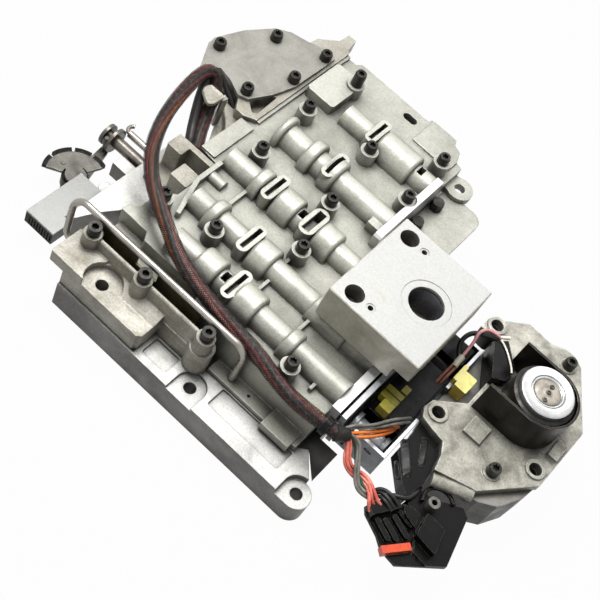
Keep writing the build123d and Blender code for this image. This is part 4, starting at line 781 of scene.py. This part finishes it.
# Each piece of wiring: the frame node that it stands for, then its wires, each with its finish, its
# thickness as a share of the plain wire's, and its run in millimetres
WIRING = {
    "orange_and_salmon_wires": ("orange_leads", [
        ("orange_wire", 1.0, [
            (80, -53.6, 58.4), (83.7, -50.1, 58.5), (86.2, -46.8, 58.5), (89, -42.5, 58), (92.4, -37.5, 57),
            (96.5, -30.3, 55), (99.8, -22.6, 52), (102.1, -14.9, 48), (103.2, -10, 43.5), (103.2, -9, 41),
        ]),
        ("orange_wire", 1.25, [
            (81, -54, 57.2), (84.8, -50.8, 57.2), (87.8, -47.9, 56.8), (90.9, -43.6, 55.8),
            (94.3, -38.6, 54.6),
            (98, -31.1, 52.6), (100.9, -22.6, 49.6), (102, -15.5, 46), (101.6, -11, 42.5), (101.4, -10, 41),
        ]),
        ("salmon_wire", 1.1, [
            (80, -54.2, 57), (83.2, -51.9, 56.5), (85.9, -52.9, 55), (88.6, -55.3, 52.5), (91.5, -59.8, 50.3),
            (95.7, -62.9, 48.3), (100.6, -63.3, 46.5), (105.6, -61.9, 44.5), (110.4, -59.9, 43.5),
            (115.7, -61.6, 45), (119.5, -66.4, 46.5), (122.3, -69.9, 44.5), (125.5, -70.8, 42),
        ]),
        ("salmon_wire", 1.1, [
            (81, -53.4, 57), (84.7, -50.5, 57), (87.9, -51.7, 55), (90.8, -53.9, 52.5), (93.5, -57.7, 50.5),
            (97.3, -59.7, 48.5), (101.4, -58.5, 46), (105.3, -56.5, 45), (109.5, -56.2, 45.5),
            (113.9, -58.1, 46.5),
            (118.4, -61, 47), (122.4, -63.1, 46.5), (126.7, -64.1, 44.5), (131, -62.7, 42),
        ]),
        ("salmon_wire", 1.0, [
            (80, -54.8, 58), (83.9, -52.2, 58), (87.9, -54.5, 56), (91.2, -57.9, 53), (94.3, -61.2, 51),
            (98.1, -62.7, 49), (102, -61.8, 46.5), (105.7, -59, 44.8), (110.3, -58.4, 44.8),
            (115.1, -60.2, 46.5),
            (119.1, -64.1, 47), (122.2, -66.7, 45.5), (127.1, -67, 42),
        ]),
    ]),
    "grey_and_green_wires": ("grey_leads", [
        ("grey_wire", 0.95, [
            (79.5, -52.4, 59.4), (81.8, -48.3, 59.5), (83.5, -45.3, 60), (86.7, -41.8, 60),
            (90.8, -36.9, 59.5),
            (94.8, -30.1, 58), (98.5, -22.3, 56), (102.1, -13.7, 53), (104.8, -6.4, 49), (106.2, -1, 44),
            (106, 0, 41),
        ]),
        ("grey_wire", 0.95, [
            (79.2, -51.8, 60), (81, -47.9, 60.5), (83.6, -44.1, 61.5), (87.1, -40, 61.5), (91.8, -33.4, 60.5),
            (94.9, -25.3, 59), (98.4, -16.8, 56.5), (102.1, -9.1, 53), (104.5, -1.7, 48), (105, 2, 43),
            (104.8, 3, 41),
        ]),
        ("grey_wire", 1.0, [
            (81, -52.4, 58), (86.1, -49.6, 58), (90.9, -49, 56), (94.8, -51.4, 54), (97.6, -55.5, 52.5),
            (100.4, -59.5, 51), (103.4, -63.1, 49.3), (106.7, -66.2, 47.5), (110.5, -68, 46),
            (114.6, -67.5, 44.5),
            (118.5, -66, 43.5), (123.6, -64, 42),
        ]),
        ("grey_wire", 1.0, [
            (81.2, -51.8, 59), (86.2, -49.2, 59), (92.6, -48.8, 57), (96.4, -52, 54.5), (99.8, -56.3, 52.8),
            (103.2, -60.4, 51), (106.3, -63.7, 49), (109.8, -66, 47), (113.1, -66, 45), (116.4, -64.4, 43.5),
            (123.3, -61.3, 42),
        ]),
        ("green_wire", 1.0, [
            (81, -52.4, 56), (86, -49.3, 56), (90.7, -49.5, 53.5), (95.4, -52.8, 51), (99.1, -56.4, 49),
            (103.4, -59.2, 46.5), (108.1, -60.9, 44.8), (111.9, -62, 43.8), (116.1, -61.4, 43),
            (122.5, -59.2, 42),
        ]),
        # Black wires that loop over the front edge of the connector
        ("black_wire", 1.1, [
            (118.6, -61.5, 39), (118.8, -59.6, 42), (119.5, -57.2, 44), (121.3, -55.5, 45.5),
            (124.6, -54.8, 47),
            (128.6, -54.9, 47.5), (133, -55.3, 47), (137.3, -55.1, 44),
        ]),
        ("black_wire", 1.1, [
            (120, -62.5, 39), (120.3, -60.2, 42), (121.3, -57.8, 44), (123.7, -57.4, 46), (127.4, -57.9, 47),
            (131.5, -58.9, 47), (135.8, -58.7, 44),
        ]),
        ("black_wire", 1.1, [
            (122, -63, 39.5), (122.4, -61, 42), (124, -59.3, 44.5), (127.5, -60.2, 46), (131.4, -60.9, 46),
            (135.2, -61.3, 44),
        ]),
        ("black_wire", 1.5, [
            (126.5, -53, 38), (129.5, -50, 41), (134, -47.8, 42), (137.6, -45, 42), (139, -40, 42),
            (139.3, -34, 41),
            (139, -30, 38),
        ]),
    ]),
    "pressure_wires": ("pink_lead", [
        ("pink_wire", 1.0, [
            (102, 60, 49), (101.9, 63.3, 50), (101.7, 68.1, 52.5), (101.4, 72.2, 54.5), (101.1, 75.7, 57),
            (100.1, 78.9, 59), (99.6, 82.3, 60.5), (100.8, 86.7, 61), (103.7, 89.8, 61), (107.9, 91.4, 60.5),
            (112.6, 92.6, 59.6),
        ]),
        ("clear_sleeve", 1.05, [(111.8, 92, 59.8), (114, 94.6, 59.4), (117.2, 98, 59.2)]),
        ("clear_sleeve", 0.6, [
            (113, 92.4, 58.8), (117.5, 90.5, 58.8), (122.2, 87.6, 58.8), (127, 83.5, 58.8), (132, 78.8, 58.8),
            (134, 75.8, 58.6),
        ]),
        ("black_wire", 1.5, [
            (101.5, 62.5, 47.5), (100.6, 65, 47.6), (97.1, 68.1, 49), (94.4, 71.4, 52), (94.1, 76.4, 54),
            (95.6, 81.4, 55), (98.4, 84.5, 56), (102.8, 86.5, 57), (107.7, 89.6, 57), (112.6, 92.2, 56.4),
        ]),
        ("brown_wire", 1.0, [
            (103.6, 58, 49), (103.4, 51.9, 47.8), (103.2, 47, 46), (103.1, 43.5, 44), (103, 42, 41.5),
        ]),
        ("brown_wire", 1.0, [
            (101.2, 58, 49), (100.9, 51.6, 48), (100.7, 46.6, 46.4), (100.6, 42, 44.4), (100.6, 40, 41.5),
        ]),
        # The braided sleeve over the joint of the brown and pink wires
        ("beige_sleeve", 2.0, [(102.1, 64.8, 49.8), (101.9, 61, 49.6), (102.2, 57, 49), (102.5, 55, 48.4)]),
    ]),
}


class VALVEBODY_OT_leads(Operator):
    """Runs the single wires out of the loom and between the plugs, and tapes the loom's end"""

    bl_idname = "valvebody.leads"
    bl_label = "Leads"

    def execute(self, context):
        settings = context.scene.valvebody_leads
        for name, (node, wires) in WIRING.items():
            slots = list(dict.fromkeys(finish for finish, share, run in wires))
            into = ([], [], [])
            for finish, share, run in wires:
                strand(frames_along(traced(run, 8)), settings.wire * share, slots.index(finish), into, 12)
            pieces_mesh(name, into, slots, stands_for=(node,))
        places = [(77, -56.1, 58), (79.5, -54.6, 58), (82, -52.6, 58), (84.6, -50.3, 57.8)]
        run = frames_along(traced(places, 10))
        whole = run[-1][1]
        sides, laps, lap_height, ripple = 40, 5.0, 0.00016, 0.03
        rows = []
        for here in run:
            along = here[1] / whole
            # Turns of tape overlap in low steps and close down on the wires
            step = lap_height * (1.0 - (along * laps) % 1.0)
            closing = 1.0 - 0.36 * max(0.0, (along - 0.25) / 0.75) ** 1.5
            radius = settings.tape * closing
            rows.append([
                on_turn(here, radius * (1.0 + ripple * math.sin(3 * a + 9 * along)) + step, a)
                for a in (2 * math.pi * j / sides for j in range(sides))
            ])
        tape = ([], [], [])
        closed_skin(rows, 0, tape)
        pieces_mesh("loom_tape", tape, ["cloth_tape"])
        return {"FINISHED"}


class PortSettings(PropertyGroup):
    """The thread in the large port of the machined block."""

    pitch: length("Pitch", "From one thread to the next", 0.0018)
    depth: length("Depth", "Height of the thread", 0.0007)


class VALVEBODY_OT_port(Operator):
    """Cuts the thread of the large port"""

    bl_idname = "valvebody.port"
    bl_label = "Port thread"

    def execute(self, context):
        settings = context.scene.valvebody_port
        centre = Vector((63.2, 40.2, 0.0)) * MM
        wall, low, high = 12.88 * MM, 71.0 * MM, 93.8 * MM
        around, lead_in = 72, 12
        steps = int((high - low - settings.pitch) / settings.pitch * around)
        rows = []
        for i in range(steps + 1):
            angle = 2 * math.pi * i / around
            z = low + settings.pitch * i / around
            # The thread rises over its first steps and runs out over its last turn
            deep = settings.depth * min(1.0, (steps - i) / around, i / lead_in)
            out = Vector((math.cos(angle), math.sin(angle), 0.0))
            shape = ((0.0, wall), (0.42, wall - deep), (0.58, wall - deep), (1.0, wall))
            rows.append([
                centre + out * radius + Vector((0, 0, z + settings.pitch * up)) for up, radius in shape
            ])
        into = ([], [], [])
        skin(rows, 0, into, ring=False)
        pieces_mesh("port_thread", into, ["tapped_port"])
        return {"FINISHED"}


def turned_piece(profile_mm, centre_mm, slot, into, sides=72):
    """A turned surface from (radius, height) pairs in millimetres, from its top centre outwards."""
    middle = Vector(centre_mm) * MM
    rows = []
    for radius, height in profile_mm:
        rows.append([
            middle + Vector((math.cos(a), math.sin(a), 0.0)) * radius * MM + Vector((0.0, 0.0, height * MM))
            for a in (2 * math.pi * j / sides for j in range(sides))
        ])
    skin(rows, slot, into)


class SolenoidSettings(PropertyGroup):
    """The round pressure solenoid."""

    cap: length("Cap radius", "Radius of the bright cap", 0.0194)


class VALVEBODY_OT_solenoid(Operator):
    """Turns the cap and can of the pressure solenoid"""

    bl_idname = "valvebody.solenoid"
    bl_label = "Pressure solenoid"

    def execute(self, context):
        cap = context.scene.valvebody_solenoid.cap / MM
        centre = (159.2, 63.4, 0.0)
        # Profiles from the middle outwards: radius and height in millimetres
        disc = [(0.02, 83.1), (3.2, 83.1), (3.5, 82.9), (3.9, 82.9), (4.2, 83.1), (9.6, 83.1), (9.9, 82.4)]
        cup = [
            (9.9, 82.4), (10.4, 82.4), (10.6, 83.5), (11.8, 83.5), (12.0, 83.1), (12.3, 83.1), (12.6, 84.0),
        ]
        rim = [(cap - 1.0, 84.0), (cap - 0.45, 83.85), (cap - 0.1, 83.4), (cap, 82.8), (cap, 79.4)]
        can = [(cap, 79.4), (cap + 0.2, 78.9), (22.0, 78.9), (22.6, 78.4), (22.6, 50.0), (0.02, 50.0)]
        into = ([], [], [])
        turned_piece(disc, centre, 3, into)
        turned_piece(cup, centre, 0, into)
        turned_piece(cup[-1:] + rim, centre, 0, into)
        turned_piece(can, centre, 1, into)
        for dx, dy in ((0.0, 5.5), (0.5, 0.0), (1.5, -7.0)):
            pin = [(0.02, 83.0), (0.7, 83.0), (0.8, 84.0), (1.2, 84.1), (1.6, 83.9), (1.8, 82.5)]
            turned_piece(pin, (centre[0] + dx, centre[1] + dy, 0.0), 2, into, 20)
        slots = ("turned_cap", "black_oxide", "grey_screw", "cap_disc")
        pieces_mesh("pressure_solenoid_turned", into, slots, stands_for=("pressure_solenoid",))
        return {"FINISHED"}


class SpringSettings(PropertyGroup):
    """The five springs that load the shift valves."""

    wire: length("Wire radius", "Radius of the spring wire", 0.00055)
    turns: IntProperty(name="Turns", description="Turns of each spring", default=5)
    travel: length("Travel", "How far a spool closes its spring up", 0.0040)


class VALVEBODY_OT_springs(Operator):
    """Winds the springs"""

    bl_idname = "valvebody.springs"
    bl_label = "Valve springs"

    def execute(self, context):
        settings = context.scene.valvebody_springs
        steps_a_turn = 24
        for number in range(1, 6):
            low, high = (Vector(corner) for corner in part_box(f"valve_spring_{number}"))
            middle = (low + high) / 2
            radius = (high.z - low.z) / 2 - settings.wire
            steps = settings.turns * steps_a_turn
            places = []
            for i in range(steps + 1):
                angle = 2 * math.pi * settings.turns * i / steps
                along = low.x + settings.wire + (high.x - low.x - 2 * settings.wire) * i / steps
                y, z = middle.y + radius * math.cos(angle), middle.z + radius * math.sin(angle)
                places.append(Vector((along, y, z)))
            into = ([], [], [])
            strand(frames_along(places), settings.wire, 0, into, 8)
            stands_for = (f"valve_spring_{number}",)
            piece = pieces_mesh(f"coil_spring_{number}", into, ["ground_steel"], stands_for=stands_for)
            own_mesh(piece)
        return {"FINISHED"}


class TongueSettings(PropertyGroup):
    """The cast tongue that holds the loom down beside the cover."""

    thickness: length("Thickness", "Thickness of the tongue", 0.0034)
    edge: length("Rounding", "Width of its rounded edge", 0.0009)


# The tongue's outline in millimetres, from under the cover round its free end
TONGUE = [
    (-158.5, 86), (-160.4, 83.5), (-160.6, 77.7), (-156.6, 74.6), (-152.3, 71.8), (-149.6, 70.6),
    (-147.5, 70.8), (-145.6, 73.6), (-145.4, 79.5), (-145.2, 85.3), (-149, 86.6),
]

# The post under the tongue, seen from above
POST = [(-147.0, 84.4), (-144.6, 83.2), (-143.6, 88.4), (-146.4, 89.0)]

# The cast wall beyond the loom's lower leg, seen from above
WALL = [
    (-133.3, 62.1), (-140.6, 78.6), (-151.9, 99.9), (-151.0, 103.6), (-142.8, 99.9), (-133.9, 89.8),
    (-130.5, 72.3),
]

# The wall's heights in millimetres, and how far its outline draws in at each
WALL_ROWS = ((24, 0.0), (33.2, 0.0), (34, 0.05), (34, 0.1))


def from_above(outline_mm):
    """The corners of an outline in millimetres, at height nought."""
    return [Vector((x * MM, y * MM, 0.0)) for x, y in outline_mm]


class VALVEBODY_OT_tongue(Operator):
    """Casts the tongue over the loom's lower leg, its post and the wall behind it"""

    bl_idname = "valvebody.tongue"
    bl_label = "Loom tongue"

    def execute(self, context):
        settings = context.scene.valvebody_tongue
        top, dish, post_foot = 64.6 * MM, 0.0005, 33.5 * MM
        low = top - settings.thickness
        corners = traced([(x, y, 0.0) for x, y in TONGUE + TONGUE[:1]], 5)[:-1]
        middle = sum(corners, Vector()) / len(corners)

        def ring(height, inward):
            made = []
            for place in corners:
                flat = Vector((place.x, place.y, 0.0))
                pull = (Vector((middle.x, middle.y, 0.0)) - flat).normalized() * inward
                made.append(flat + pull + Vector((0.0, 0.0, height)))
            return made

        edge = settings.edge
        # A raised bead runs round the edge of the tongue and its middle is dished
        rows = [
            ring(low, edge), ring(low + edge * 0.6, 0.0), ring(top - edge * 0.6, 0.0), ring(top, edge * 0.7),
            ring(top, edge * 1.8), ring(top - dish, edge * 2.6),
        ]
        into = ([], [], [])
        closed_skin(rows, 0, into)
        # A post carries the tongue from the wall, clear of the loom
        heights = (post_foot, low + edge * 0.5)
        closed_skin([[p + Vector((0, 0, z)) for p in from_above(POST)] for z in heights], 0, into)
        pieces_mesh("loom_tongue", into, ["warm_casting"], smooth=False)
        # The wall stands clear under the loom's leg, with its top edge broken
        into = ([], [], [])
        foot = from_above(WALL)
        core = sum(foot, Vector()) / len(foot)
        rows = [[p.lerp(core, inward) + Vector((0, 0, z * MM)) for p in foot] for z, inward in WALL_ROWS]
        closed_skin(rows, 0, into)
        pieces_mesh("bracket_wall", into, ["warm_casting"], smooth=False)
        return {"FINISHED"}


class FoldSettings(PropertyGroup):
    """The creases pressed into the top of the cable guide."""

    height: length("Fold height", "How far a crease stands up, and the collar's radius", 0.0016)
    width: length("Fold width", "Width of a crease's steep side", 0.0016)


# Creases of the guide: both ends in millimetres, and how wide the gentle side is next to the steep one
FOLDS = [
    ((112.4, -13.0), (129.8, -33.0), 3.2), ((117.0, -31.0), (126.0, -40.4), 1.4),
    ((121.0, -2.0), (131.5, -21.0), 2.2),
]

# The collar's run round the connector's post, in millimetres
COLLAR = [
    (145.4, -38.6, 42), (142.8, -33.3, 42), (143.6, -27.9, 41.5), (147.2, -23.4, 41), (152.2, -20.9, 41),
    (157.5, -21.2, 41), (162.2, -24.2, 41),
]


class VALVEBODY_OT_folds(Operator):
    """Raises the creases on the cable guide's top and its collar"""

    bl_idname = "valvebody.folds"
    bl_label = "Guide folds"

    def execute(self, context):
        settings = context.scene.valvebody_folds
        low, steps = 43.95 * MM, 8
        into = ([], [], [])
        points, faces, slots = into
        for start, end, gentle in FOLDS:
            a, b = (Vector((*(c * MM for c in place), low)) for place in (start, end))
            way = (b - a).normalized()
            side = Vector((way.y, -way.x, 0.0)) * settings.width
            rows = []
            for i in range(steps + 1):
                share = i / steps
                # A crease starts low, stands highest past its middle, and runs out
                rise = settings.height * math.sin(math.pi * min(1.0, 0.04 + share * 0.92)) ** 0.6
                place = a.lerp(b, share)
                up = Vector((0, 0, rise))
                rows.append([
                    place - side, place - side * 0.35 + up, place + side * 0.1 + up, place + side * gentle,
                ])
            first = len(points)
            skin(rows, 0, into)
            faces.append((first, first + 1, first + 2, first + 3))
            faces.append(tuple(first + 4 * steps + k for k in (3, 2, 1, 0)))
            slots.extend((0, 0))
        # A moulded collar lies half round the connector's post
        strand(frames_along(traced(COLLAR, 6)), settings.height, 0, into, 10)
        pieces_mesh("guide_folds", into, ["black_plastic"], smooth=False)
        return {"FINISHED"}


# Solids that a piece of this scene stands for
REPLACED = {
    "conduit", "orange_leads", "grey_leads", "pink_lead", "pressure_solenoid",
    *(f"valve_spring_{i}" for i in range(1, 6)),
}

SETTINGS = {
    "valvebody_stage": StageSettings,
    "valvebody_loom": LoomSettings,
    "valvebody_leads": LeadSettings,
    "valvebody_port": PortSettings,
    "valvebody_solenoid": SolenoidSettings,
    "valvebody_folds": FoldSettings,
    "valvebody_tongue": TongueSettings,
    "valvebody_springs": SpringSettings,
}

STEPS = [
    VALVEBODY_OT_stage, VALVEBODY_OT_finishes, VALVEBODY_OT_loom, VALVEBODY_OT_leads, VALVEBODY_OT_port,
    VALVEBODY_OT_solenoid, VALVEBODY_OT_folds, VALVEBODY_OT_tongue, VALVEBODY_OT_springs,
]


class VALVEBODY_PT_sidebar(Panel):
    """Lists the steps that dress the valve body"""

    bl_idname = "VALVEBODY_PT_sidebar"
    bl_label = "Valve body"
    bl_space_type = "VIEW_3D"
    bl_region_type = "UI"
    bl_category = "Valve body"

    def draw(self, context):
        for group, kind in SETTINGS.items():
            box = self.layout.box()
            for name in kind.__annotations__:
                box.prop(getattr(context.scene, group), name)
        for step in STEPS:
            self.layout.operator(step.bl_idname)


CLASSES = [*SETTINGS.values(), *STEPS, VALVEBODY_PT_sidebar]


def register():
    for cls in CLASSES:
        bpy.utils.register_class(cls)
    for name, kind in SETTINGS.items():
        setattr(bpy.types.Scene, name, PointerProperty(type=kind))


def unregister():
    for name in SETTINGS:
        delattr(bpy.types.Scene, name)
    for cls in reversed(CLASSES):
        bpy.utils.unregister_class(cls)


def main():
    register()
    for step in STEPS:
        group, name = step.bl_idname.split(".")
        getattr(getattr(bpy.ops, group), name)()


if __name__ == "__main__":
    main()
